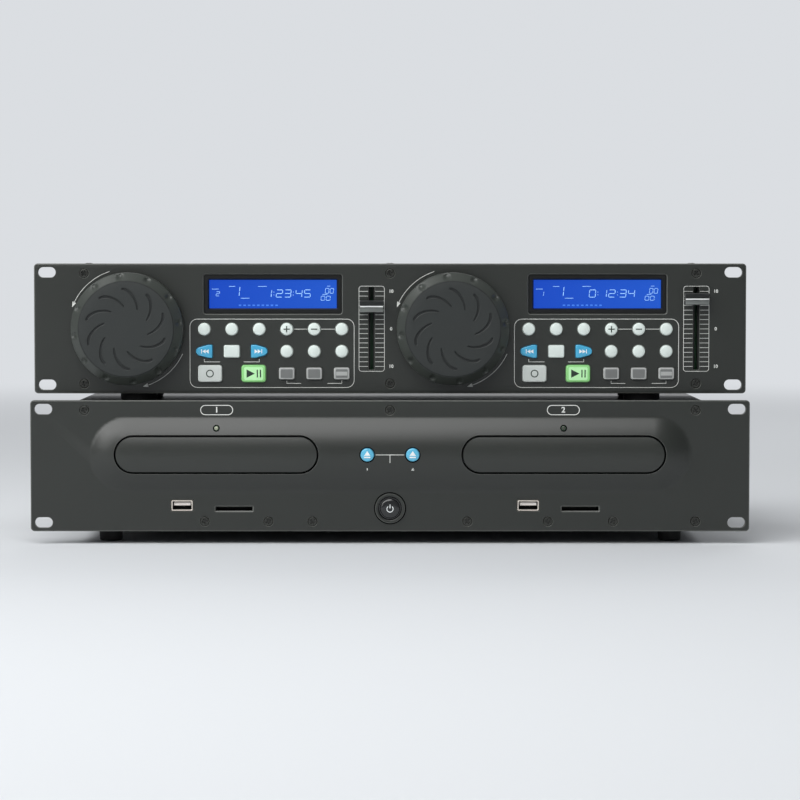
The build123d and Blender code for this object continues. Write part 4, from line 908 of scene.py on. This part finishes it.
for deck, wheel_x in enumerate(wheels_x, start=1):
    wheel = f"jog_wheel_{deck}"
    shell, z = Shell(), controller_middle
    turned(shell, wheel_x, z, [(r, controller_face + depth) for r, depth in rim_profile], 240)
    blank = shell.piece(f"rim_blank_{deck}", [wheel_plastic], wheel, "wheel")
    rim_mesh = blank.data
    bpy.data.objects.remove(blank)
    rim_object = dimples.grow(bpy.data.objects.new(f"jog_wheel_rim_{deck}", rim_mesh), {
        "Middle across": wheel_x * MM, "Middle up": z * MM, "Count": 12.0,
        "Circle": dimple_circle * MM, "Width": dimple_width * MM, "Depth": dimple_depth * MM,
        "Turn": math.radians(first_dimple), "Shoulder": (controller_face + shoulder_from) * MM,
        "Plastic": wheel_plastic})
    rim_object.data.set_sharp_from_angle(angle=math.radians(40))
    finished(rim_object, wheel, [wheel])
    shell = Shell()
    plate(shell, (rounded(wheel_x, z, pad_width, steps=24), pad_edge, (1,) * 4),
          [(groove_outline(wheel_x, z, start), groove_edge, (0, 1)) for start in grooves_from],
          flat_at(controller_face + pad_front), controller_face + pad_back)
    shell.piece(f"jog_wheel_pad_{deck}", [pad_rubber, groove_rubber], wheel, "wheel")

# ---------------------------------------------------------------- keys
# Moulded caps that stand 2 mm off the panel, each on its own stem and switch: milky white round
# ones, clear blue skip keys, a pale cue key, a lit green play key and grey loop keys.
FACE, GREY_RIM, DARK, WHITE, GREEN_RIM = range(5)        # a key's finishes, in their order
# The white, pale grey and clear blue caps glow softly in their own colour though no lamp lies behind
# them: painted light that brightens them. The green play key is lit.
key_colours = {
    slot: finish(name, seen, rough, mottle=mottle, coat=coat, glow=glow)
    for slot, name, seen, rough, mottle, coat, glow in (
        ("key_white", "key_milky_white", (214, 224, 219), 0.35, (0.04, 4.0), 0.3, 0.10),
        ("key_light", "key_pale_grey", (206, 212, 208), 0.4, (0.05, 5.0), 0.2, 0.05),
        ("key_green", "key_lit_green", (178, 232, 172), 0.35, (0.05, 6.0), 0.3, 0.22),
        ("key_grey", "key_dull_grey", (118, 120, 119), 0.45, (0.06, 4.0), 0.15, 0.0),
        ("key_blue", "key_clear_blue", (70, 166, 206), 0.25, (0.14, 4.0), 0.5, 0.1))}
key_rim = finish("key_rim", (176, 178, 176), 0.4, mottle=(0.05, 3.0))
play_rim = finish("play_rim_green", (140, 208, 130), 0.35, mottle=(0.08, 3.0), glow=0.15)
sign_dark = finish("sign_dark", (34, 52, 42), 0.5, mottle=(0.1, 2.0))
sign_white = finish("sign_white", (240, 244, 244), 0.5, mottle=(0.03, 2.0))
key_looks = {"skip_back": "key_blue", "skip_forward": "key_blue", "cue": "key_light",
             "play": "key_green", "loop_in": "key_grey", "loop_out": "key_grey",
             "reloop": "key_grey"}
key_rims = {"key_grey": GREY_RIM, "key_green": GREEN_RIM}
stem_half = 1.5


def cap(shell, loop, x, z, front, depth, edge, crown, edge_kind=0):
    """A key's cap with a soft edge and a slightly crowned front, back to its depth."""
    rings, centre = [(loop, depth), (loop, crown + edge)], np.array((x, z))
    for angle in map(math.radians, (30, 60, 90)):
        rings.append((grown(loop, -edge * (1 - math.cos(angle))),
                      crown + edge * (1 - math.sin(angle))))
    inner = rings[-1][0] - centre
    rings += [(centre + inner * share, crown * share**2) for share in (0.85, 0.7, 0.5, 0.3, 0.12)]
    shell.solid([standing(ring, front + drop) for ring, drop in rings],
                [edge_kind] * 5 + [0] * 4, (0, 0))


def stem(shell, node, back, thickness=1.2):
    """The flange behind a cap, and the square stem that reaches its switch."""
    (low, high), (x, z) = corners(node), middle(node)
    shell.block((low.x, back, low.z), (high.x, back + thickness, high.z))
    shell.post(x, z, stem_half, back + thickness - 0.1, high.y)


def bar(x, z, width, height, corner=0.1, steps=1):
    return rounded(x, z, width, height, corner, steps)


def triangle(x, width, height, way=1):
    near, far = x - way * width / 2, x + way * width / 2
    return np.array([(near, -height / 2), (far, 0), (near, height / 2)][::way])


def skip_sign(way):
    return [*[(triangle(way * x, 2.2, 2.8, way), 0.08) for x in (-2.0, 0.1)],
            (bar(way * 1.75, 0, 0.5, 2.8, 0.05), 0.08)]


key_signs = {    # how deep the cap's face lies there, the finish, and outlines with their heights
    "minus": (0.08, DARK, [(bar(0, 0, 4.2, 0.75), 0.1)]),
    "plus": (0.08, DARK, [(bar(0, 0, 4.2, 0.75), 0.1), (bar(0, 0, 0.75, 4.2), 0.12)]),
    "play": (0.05, DARK, [(triangle(-1.9, 5.6, 5.6), 0.08), (bar(2.6, 0, 0.8, 5.2), 0.08),
                          (bar(4.7, 0, 0.8, 5.2), 0.08)]),
    "skip_back": (0.06, WHITE, skip_sign(-1)),
    "skip_forward": (0.06, WHITE, skip_sign(1)),
    "reloop": (0.02, GREY_RIM, [(bar(0, 0, 7.6, 2.6, 0.3, 2), 0.08)]),
}
key_proud, key_depth = 2.0, 5.0
cue_ring, cue_line = 4.6, 0.7
key_front = controller_face - key_proud
for deck in (1, 2):
    for key, shape in key_shapes.items():
        node, look = f"{key}_key_{deck}", key_looks.get(key, "key_white")
        x, z = middle(node)
        edge, crown = (0.7, 0.4) if shape == "round" else (0.5, 0.12)
        shell = Shell()
        cap(shell, key_outline(shape, x, z), x, z, key_front, key_depth, edge, crown,
            key_rims.get(look, FACE))
        stem(shell, node, controller_back)
        level, kind, outlines = key_signs.get(key, (0, FACE, ()))
        for loop, height in outlines:
            patch(shell, loop + (x, z), flat_at(key_front + level), kind, height)
        if key == "cue":
            ribbon(shell, rounded(x, z, cue_ring), cue_line, flat_at(key_front + 0.03),
                   True, DARK)
        shell.piece(f"{key}_key_cap_{deck}",
                    [key_colours[look], key_rim, sign_dark, sign_white, play_rim], node, look, [node])

# ---------------------------------------------------------------- displays
# A glossy black frame round a blue backlit crystal display, sunk 1 mm behind the panel's face.
# The figures are plain seven-stroke numbers.
LIT, FAINT = 1, 2                        # a display's finishes, after its backlight
frame_gloss = finish("display_frame_gloss", (12, 13, 13), 0.3, mottle=(0.1, 30.0))
figure_light = finish("display_figures", (150, 196, 240), 0.5, mottle=(0.02, 30.0), glow=0.5)
figure_faint = finish("display_faint_figures", (52, 110, 206), 0.5, mottle=(0.1, 30.0), glow=0.5)
glass_size, frame_size, flange_size = (86.4, 19.3), (93.3, 26.3), (97.6, 30.6)
numbers = ((-38.6, 0.2, 2.9, 3.2), (-25.2, 1.8, 6.4, 3.4), (-5.2, 0.4, 4.9, 5.75),
           (35.6, 2.2, 3.3, 3.2), (32.6, -2.8, 2.8, 3.6))      # across, up, height, pitch
readings = (("2", "1", "1:23:45", "00", "00"), ("1", "1", "0:12:34", "00", "00"))
dashes = ((-39.2, 3.4, 4.6), (-27.8, 5.2, 4.2), (-7.2, 5.2, 5.8), (-19.0, -2.8, 5.8),
          (37.8, 5.4, 2.2), (35.2, -0.2, 3.2))                 # across, up, length
track_marks, mark_up, mark_size = [-22.4 + 3.1 * mark for mark in range(9)], -7.6, (1.7, 1.0)
figure_width, figure_lean, colon_pitch = 0.72, 0.1, 0.3        # the first and last of the pitch
strokes_at = {"a": ((0, 1), (1, 1)), "b": ((1, 1), (1, 0)), "c": ((1, 0), (1, -1)),
              "d": ((0, -1), (1, -1)), "e": ((0, 0), (0, -1)), "f": ((0, 1), (0, 0)),
              "g": ((0, 0), (1, 0))}
strokes_of = {"0": "abcdef", "1": "bc", "2": "abged", "3": "abgcd", "4": "fgbc", "5": "afgcd"}


def backlight(name, left, width):
    """Blue light that fades from a display's left end to its right one."""
    material = finish(name, (10, 26, 70), 0.15, mottle=(0.1, 12.0), coat=0.3)
    wires, nodes = Wiring(material.node_tree), material.node_tree.nodes
    place = wires.node("ShaderNodeSeparateXYZ", {0: nodes["Texture Coordinate"].outputs["Object"]})
    ramp = wires.node("ShaderNodeMapRange", {"Value": place.outputs["X"], "From Min": left * MM,
                                             "From Max": (left + width) * MM})
    tint = wires.node("ShaderNodeMix", {0: ramp, 6: shade(12, 72, 196), 7: shade(26, 88, 206)},
                      data_type="RGBA")
    wires.feed(nodes["Principled BSDF"], {"Emission Color": tint.outputs[2], "Emission Strength": 0.9})
    return material


def stroke_number(shell, text, x, z, height, pitch, surface):
    """Seven-stroke figures from a left end, leaning a little to the right."""
    wide, thick = pitch * figure_width, 0.42 if height > 4 else 0.3
    for mark in text:
        if mark == ":":
            for up in (-0.2, 0.2):
                patch(shell, rounded(x, z + up * height, thick, thick, 0), surface, LIT)
        for name in strokes_of.get(mark, ""):
            ends = np.array(strokes_at[name]) * (wide, height / 2)
            ahead = (ends[1] - ends[0]) / np.linalg.norm(ends[1] - ends[0])
            ends = ends + np.outer((1, -1), ahead) * thick * 0.6
            ends = ends + ends[:, 1:] * (figure_lean, 0) + (x, z)
            ribbon(shell, ends, thick, surface, kind=LIT)
        x += pitch * (colon_pitch if mark == ":" else 1)


for deck, (wheel_x, reading) in enumerate(zip(wheels_x, readings), start=1):
    x, z = wheel_x + display_from_wheel[0], controller_middle + display_from_wheel[1]
    glass = controller_back + 1.2
    shell = Shell()
    opening = (rounded(x, z, *glass_size, 0.4), [(0.9, 0), (0, 1.2), (0, None)], (0, 0))
    plate(shell, (rounded(x, z, *frame_size, 1.35), bevelled(0.3), (0, 0)), [opening],
          flat_at(controller_face + 1.0), controller_back)
    outer, inner = [rounded(x, z, *size, 0) for size in (flange_size, glass_size)]
    shell.wall([standing(loop, y) for loop, y in (
        (outer, controller_back), (outer, glass), (inner, glass), (inner, controller_back),
        (outer, controller_back))])
    shell.piece(f"display_frame_{deck}", [frame_gloss], "controller", "display",
                ["display_frames"] if deck == 1 else ())
    shell = Shell()
    shell.post(x, z, np.array(glass_size) / 2, glass - 0.15, glass)
    surface, left = flat_at(glass - 0.17), x - glass_size[0] / 2
    for text, (across, up, height, pitch) in zip(reading, numbers):
        stroke_number(shell, text, x + across, z + up, height, pitch, surface)
    for across, up, length in dashes:
        patch(shell, rounded(x + across, z + up, length, 0.3, 0), surface, LIT)
    for across in track_marks:
        patch(shell, rounded(x + across, z + mark_up, *mark_size, 0), surface, FAINT)
    shell.piece(f"display_glass_{deck}", [backlight(f"display_backlight_{deck}", left, glass_size[0]),
                                          figure_light, figure_faint], "controller", "display")

# ---------------------------------------------------------------- faders
# A ribbed knob with a hollowed front and a white line across its middle, on a steel blade that
# slides in the slot.
throat_dark = finish("throat_dark", (12, 13, 13), 0.6, mottle=(0.1, 4.0))
# Two copies of the knob's plastic: a lighter one on the lower half of each knob, a painted highlight
# where it faces up to the light, and a darker one on the upper half, painted shade where it faces down.
knob_dark = finish("knob_dark", (58, 60, 60), 0.45, mottle=(0.08, 4.0))
knob_lit_half = finish("knob_worn_light", (120, 124, 122), 0.4, mottle=(0.12, 4.0))
knob_line = finish("knob_line", (236, 238, 236), 0.45, mottle=(0.03, 2.0))
lip_middle, lip_half = 2.5, (1.5, 30.0)  # the dust lips behind a slot
knob_half, knob_reach, knob_dip, knob_notch, knob_edge = 7.9, 3.5, 1.8, 0.28, 0.3
bare_steps = (7, 8)                      # where the white line takes the ribs' place
shell = Shell()
for wheel_x in wheels_x:
    for side in (-1, 1):
        shell.post(wheel_x + fader_from_wheel + side * lip_middle, controller_middle, lip_half,
                   controller_back, controller_back + 0.4)
shell.piece("fader_dust_lips", [throat_dark], "controller", "knob")
for deck in (1, 2):
    node = f"fader_knob_{deck}"
    (low, high), (x, z) = corners(node), middle(node)
    back, front = controller_face - 1.0, low.y
    ribs = [(front + knob_dip * (1 - up**2) + knob_notch * (n % 2), knob_reach * up)
            for n, up in enumerate(np.linspace(1, -1, 33))
            if n % 2 == 0 or n // 2 not in bare_steps]
    profile = [(back, 4.0), (front + 0.5, 3.6), *ribs, (front + 0.5, -3.6), (back, -4.0)]
    rows = [np.array([(x + across, min(y + inwards, back) if inwards else y, z + up)
                      for y, up in profile])
            for across, inwards in ((-knob_half, knob_edge), (knob_edge - knob_half, 0),
                                    (knob_half - knob_edge, 0), (knob_half, knob_edge))]
    shell = Shell()
    # Lower half lighter, upper half darker: painted highlight and painted shade.
    shell.solid(rows, [[0 if up > 0.1 else 1 for y, up in profile]] * 3, (0, 0))
    shell.post(x, z, (knob_half - 0.1, 0.42), front + 1.45, front + 3.0, 2)
    shell.post(x, z, (0.8, 2.0), back - 0.5, high.y)
    shell.piece(f"fader_knob_cap_{deck}", [knob_dark, knob_lit_half, knob_line], node, "knob", [node],
                crease=30.0)

# ---------------------------------------------------------------- eject and power buttons
# Domed blue eject buttons with a white sign in the crown of the cushion, and a glossy black
# power button in its collar. Light pipes over the doors end in small lenses.
# The eject buttons glow softly in their own blue though no lamp lies behind them: painted light that
# brightens them.
eject_blue = finish("eject_blue", (92, 178, 212), 0.25, mottle=(0.12, 4.0), coat=0.5, glow=0.12)
power_gloss = finish("power_gloss", (24, 25, 26), 0.25, mottle=(0.1, 5.0), coat=0.6)
eject_width, eject_front, eject_back = 8.8, player_face - crown_rise - 1.5, player_back - 6.0
power_ring, power_stroke, sign_line = 2.1, (2.7, 0.1), 0.5
power_profile = [(7.55, panel_depth), (7.55, -0.4), (7.3, -0.6), (6.75, -0.6), (6.6, -0.3),
                 (6.5, -0.4), (6.45, -1.5), (6.1, -2.0), (5.2, -2.35), (3.6, -2.52), (1.8, -2.58),
                 (0, -2.6)]
lens_profile = [(1.5, 4.0), (1.5, 0.2), (1.2, -0.1), (0.7, -0.25), (0, -0.3)]
for deck, x in enumerate(ejects_x, start=1):
    node, z = f"eject_button_{deck}", spine_z
    shell = Shell()
    cap(shell, rounded(x, z, eject_width, steps=9), x, z, eject_front,
        eject_back - eject_front, 0.7, 0.35)
    stem(shell, node, eject_back)
    for loop in ([(x - 2.1, z - 0.5), (x + 2.1, z - 0.5), (x, z + 2.7)], bar(x, z - 1.6, 4.2, 0.85)):
        patch(shell, loop, flat_at(eject_front + 0.1), 1, 0.12)
    shell.piece(f"eject_button_cap_{deck}", [eject_blue, sign_white], node, "eject", [node])
shell = Shell()
turned(shell, power_x, power_z, [(r, player_face + depth) for r, depth in power_profile], 64)
stem(shell, "power_button", player_back, 1.5)
for path in (polar(power_x, power_z - 0.3, power_ring, np.radians(np.linspace(128, 412, 31))),
             [(power_x, power_z + up) for up in power_stroke]):
    ribbon(shell, path, sign_line, flat_at(player_face - 2.6), kind=1)
shell.piece("power_button_cap", [power_gloss, sign_white], "power_button", "power", ["power_button"])
lens_lit = finish("lens_lit", (158, 162, 142), 0.3, mottle=(0.1, 1.5), glow=0.08)
lens_dark = finish("lens_dark", (66, 70, 62), 0.25, mottle=(0.05, 2.0))
for deck, (tray_x, lens) in enumerate(zip(trays_x, (lens_lit, lens_dark)), start=1):
    shell, tip = Shell(), level_at(cushion_front, tray_x, led_z)
    turned(shell, tray_x, led_z, [(r, tip + depth) for r, depth in lens_profile], 24)
    shell.piece(f"light_lens_{deck}", [lens], "player", "display")

# ---------------------------------------------------------------- memory sockets
# A folded bright-metal shell with a pale contact tongue behind each socket's opening, and a dark
# slot with a spring-loaded throat for each card.
shell_metal = finish("socket_bright_metal", (224, 216, 206), 0.3, metal=0.35, mottle=(0.08, 4.0))
# The pale tongue glows a little though no lamp lies behind it: painted light that brightens it inside
# the socket.
tongue_pale = finish("tongue_pale", (232, 226, 220), 0.5, mottle=(0.05, 4.0), glow=0.15)
contact_gold = finish("contact_gold", (214, 178, 96), 0.3, metal=0.9, mottle=(0.05, 3.0))
contacts_x, contact_half = (-3.5, -1.0, 1.0, 3.5), (0.45, 0.05)
board_front, usb_front = player_back + 10.0, player_face - 0.3
shell = Shell()
for tray_x in trays_x:
    x, z = tray_x + usb_from_tray, usb_z
    # The deep walls of each socket's mouth take the near-black throat finish: painted shade inside the
    # socket.
    mouth = (rounded(x, z, *[size - 1.6 for size in usb_size], 0.5),
             bevelled(0.2, (0, 0.8), (0, 12.0)), (0, 0, 2))
    plate(shell, (rounded(x, z, *usb_size, 0.9), bevelled(0.25), (0, 0)), [mouth], flat_at(usb_front),
          board_front)
    shell.post(x, z + 0.9, (5.5, 0.9), usb_front + 2.0, usb_front + 12.1, 1)
    for contact in contacts_x:
        shell.post(x + contact, z - 0.03, contact_half, usb_front + 2.6, usb_front + 9.0, 3)
    x, z = tray_x + card_from_tray, card_z
    body = rounded(x, z, *[size + 2.4 for size in card_size], 0.2)
    throat = (rounded(x, z, *card_size, 0.2), [(0, 0), (0, 8.5)], (2,))
    plate(shell, (body, straight, (2,)), [throat], flat_at(player_back), board_front)
shell.piece("memory_sockets", [shell_metal, tongue_pale, throat_dark, contact_gold], "player",
            "usb_metal", ["media_sockets"])

# ---------------------------------------------------------------- feet
# Black rubber feet: four tapered ones that carry the drive unit, and four round ones on which
# the control unit stands on it.
foot_rubber = finish("foot_rubber", (24, 24, 25), 0.75, grain=(0.03, 0.8), mottle=(0.1, 30.0))
for body, base, (feet_x, feet_y), profile in (
        ("player", 0, ((-190, 190), (-99.25, 102.75)),
         [(0, 0), (6.6, 0), (7.4, 0.3), (7.7, 1.0), (8.0, 9.2), (7.9, 10.0), (0, 10.0)]),
        ("controller", player_high.z, ((-172, 172), (-83.25, -33.25)),
         [(0, 0), (11.4, 0), (12.3, 0.5), (12.5, 1.4), (12.5, 6.5), (0, 6.5)])):
    shell = Shell()
    for x in feet_x:
        for y in feet_y:
            turned(shell, x, y, [(radius, base + up) for radius, up in profile], 48)
    shell.points = [(x, z, y) for x, y, z in shell.points]
    shell.piece(f"{body}_feet_rubber", [foot_rubber], body, "rubber", [f"{body}_feet"])

# ---------------------------------------------------------------- rear sockets
# Six phono jacks in a black block, a many-pin socket for the control unit's lead, and a mains
# inlet with three pins.
METAL, PALE, RED, DULL = range(4)        # the rear sockets' finishes, in their order
rear_finishes = [
    finish("jack_nickel", (176, 174, 166), 0.25, metal=0.95, mottle=(0.1, 3.0)),
    finish("jack_white", (222, 222, 216), 0.5, mottle=(0.05, 3.0)),
    finish("jack_red", (176, 34, 32), 0.5, mottle=(0.08, 3.0)),
    finish("socket_black", (26, 27, 28), 0.5, grain=(0.02, 0.6), mottle=(0.1, 30.0))]
rear = player_high.y
jacks_x, jacks_middle, jack_z = (-150, -132, -104, -86, -58, -40), -95.0, player_middle + 12.0
jack_profile = [(4.15, -1.3), (4.15, 8.7), (3.9, 9.0), (3.55, 9.0), (3.5, 8.6), (1.7, 8.6),
                (1.6, 8.4), (1.6, 2.0), (0, 2.0)]
inlet_x, inlet_z, inlet_pins = 165.0, player_middle + 6.0, ((0, 2.0), (-7.0, -2.0), (7.0, -2.0))
pin_rows, pin_pitch, pin_half = ((1.6, 8), (-1.6, 7)), 2.6, 0.35
player_lead_x, controller_lead_x = 20.0, -150.0


def facing_back(x, y, z):
    """Turns what faces forwards round."""
    return x, -y, z


def mains_inlet():
    mouth = rounded(inlet_x, inlet_z, 24.4, 16.8, 2.0)
    plate(shell, (rounded(inlet_x, inlet_z, 32, 25, 2.0), bevelled(0.4), (DULL, DULL)),
          [(mouth, bevelled(0.4), (DULL, DULL))], flat_at(-rear - 2.0), -rear, kind=DULL)
    plate(shell, (grown(mouth, 1.2), straight, (DULL,)),
          [(grown(mouth, 0.1), [(0, 0), (0, 14.8)], (DULL,))], flat_at(-rear - 0.1), 16.5 - rear,
          kind=DULL)


def many_pin_socket(shell, x, z, wall, extra=0.0):
    """A metal shell with a dark face behind a flange, on a wall that faces back."""
    flange, mouth = [(rounded(x, z, width + extra, height + extra, 2.0), bevelled(0.2), (METAL, METAL))
                     for width, height in ((39, 12.5), (25, 8.4))]
    plate(shell, flange, [], flat_at(-(wall + 1.0 + extra)), 0.1 - wall)
    plate(shell, mouth, [(rounded(x, z, 23.6, 7.0, 1.4), bevelled(0.1, (0, 0.7)), (METAL, DULL))],
          flat_at(-(wall + 7.0 + extra)), -wall)
    for up, count in pin_rows:
        for pin in range(count):
            shell.post(x + (pin - (count - 1) / 2) * pin_pitch, z + up, pin_half,
                       -(wall + 6.7 + extra), -(wall + 6.0), METAL)


shell = Shell()
for number, x in enumerate(jacks_x):
    ring = RED if number % 2 else PALE
    turned(shell, x, jack_z, [(radius, rear + out) for radius, out in jack_profile], 36,
           [METAL] * 3 + [ring] * 3 + [DULL] * 2)
shell.post(jacks_middle, jack_z, (62.0, 7.0), rear - 13.2, rear - 1.2, DULL)
shell.moved(mains_inlet, facing_back)
shell.moved(lambda: many_pin_socket(shell, player_lead_x, jack_z, rear), facing_back)
for across, up in inlet_pins:
    shell.post(inlet_x + across, inlet_z + up, (1.0, 2.0), rear - 15.0, rear, METAL)
shell.post(player_lead_x, jack_z, (12.5, 4.2), rear - 10.0, rear, DULL)
lead = Shell()
lead.moved(lambda: many_pin_socket(lead, controller_lead_x, controller_middle, controller_high.y, 0.2),
           facing_back)
lead.piece("control_lead_socket", rear_finishes, "controller", "connector")
shell.piece("rear_socket_row", rear_finishes, "player", "connector", ["rear_sockets"])

# ---------------------------------------------------------------- room, light and camera
# A plain pale floor and wall colour, three soft lamps and a long lens a little above the middle
# of the object.
room_colour, seen_strength, lit_strength = (0.93, 0.96, 1.0, 1.0), 0.76, 0.22
haze_from, haze_to, floor_reach = 0.7, 2.6, 30.0         # metres from the middle
lamp_aim = (0, 0, 0.09)
camera_place, camera_aim = Vector((0.0067, -2.026, 0.188)), Vector((0.0067, -0.12, 0.0965))
floor_mesh = bpy.data.meshes.new("floor")
floor_mesh.from_pydata([(x * floor_reach, y * floor_reach, 0)
                        for x, y in ((-1, -1), (1, -1), (1, 1), (-1, 1))], [], [(0, 1, 2, 3)])
floor = bpy.data.objects.new("floor", floor_mesh)
scene.collection.objects.link(floor)
floor_pale = finish("floor_pale", (216, 219, 222), 0.8, mottle=(0.01, 400.0))
wires, nodes = Wiring(floor_pale.node_tree), floor_pale.node_tree.nodes
far_off = wires.node("ShaderNodeVectorMath", {0: nodes["Texture Coordinate"].outputs["Object"]},
                     operation="LENGTH")
fade = wires.node("ShaderNodeMapRange", {"Value": far_off.outputs["Value"], "From Min": haze_from,
                                         "From Max": haze_to}, interpolation_type="SMOOTHSTEP")
ray = wires.node("ShaderNodeLightPath").outputs
share = wires.node("ShaderNodeMath", {0: fade, 1: ray["Is Camera Ray"]}, operation="MULTIPLY")
haze = wires.node("ShaderNodeEmission", {"Color": room_colour, "Strength": seen_strength})
blend = wires.node("ShaderNodeMixShader", {0: share, 1: nodes["Principled BSDF"], 2: haze})
wires.feed(nodes["Material Output"], {"Surface": blend})
floor_mesh.materials.append(floor_pale)

world = bpy.data.worlds.new("room")
scene.world = world
world.use_nodes = True
wires = Wiring(world.node_tree)
place = wires.node("ShaderNodeTexCoord").outputs["Generated"]
towards = wires.node("ShaderNodeSeparateXYZ", {0: place}).outputs
behind_low = wires.node("ShaderNodeMath", {0: towards["Z"], 1: -1.5, 2: towards["Y"]},
                        operation="MULTIPLY_ADD")
rear_wall = wires.node("ShaderNodeMapRange", {"Value": behind_low, "From Min": 0.2, "From Max": 0.8})
ray = wires.node("ShaderNodeLightPath").outputs
mirrored = wires.node("ShaderNodeMath", {0: rear_wall, 1: ray["Is Glossy Ray"],
                                         2: ray["Is Camera Ray"]}, operation="MULTIPLY_ADD")
strength = wires.node("ShaderNodeMapRange", {"Value": mirrored, "To Min": lit_strength,
                                             "To Max": seen_strength})
wires.feed(world.node_tree.nodes["Background"], {"Color": room_colour, "Strength": strength})


def turn_to(obj, place, aim):
    """Puts a lamp or a camera in the scene and points it."""
    scene.collection.objects.link(obj)
    obj.location = place
    obj.rotation_euler = (Vector(aim) - Vector(place)).to_track_quat("-Z", "Y").to_euler()


for name, place, size, power in (("top_softbox", (-0.65, -0.92, 1.4), (2.2, 1.5), 34.5),
                                 ("left_softbox", (-1.5, -1.2, 0.75), (0.9, 0.9), 6.0),
                                 ("rear_softbox", (0.4, 1.4, 1.1), (1.6, 0.8), 8.0)):
    light = bpy.data.lights.new(name, "AREA")
    light.shape, light.size, light.size_y, light.energy = "RECTANGLE", *size, power
    lamp = bpy.data.objects.new(name, light)
    lamp.visible_camera = False
    turn_to(lamp, place, lamp_aim)

camera = bpy.data.objects.new("camera", bpy.data.cameras.new("camera"))
turn_to(camera, camera_place, camera_aim)
scene.camera = camera
camera.data.lens, camera.data.sensor_width = 127.7, 36.0
camera.data.clip_start, camera.data.clip_end = 0.05, 100.0
scene.view_settings.view_transform = "Standard"
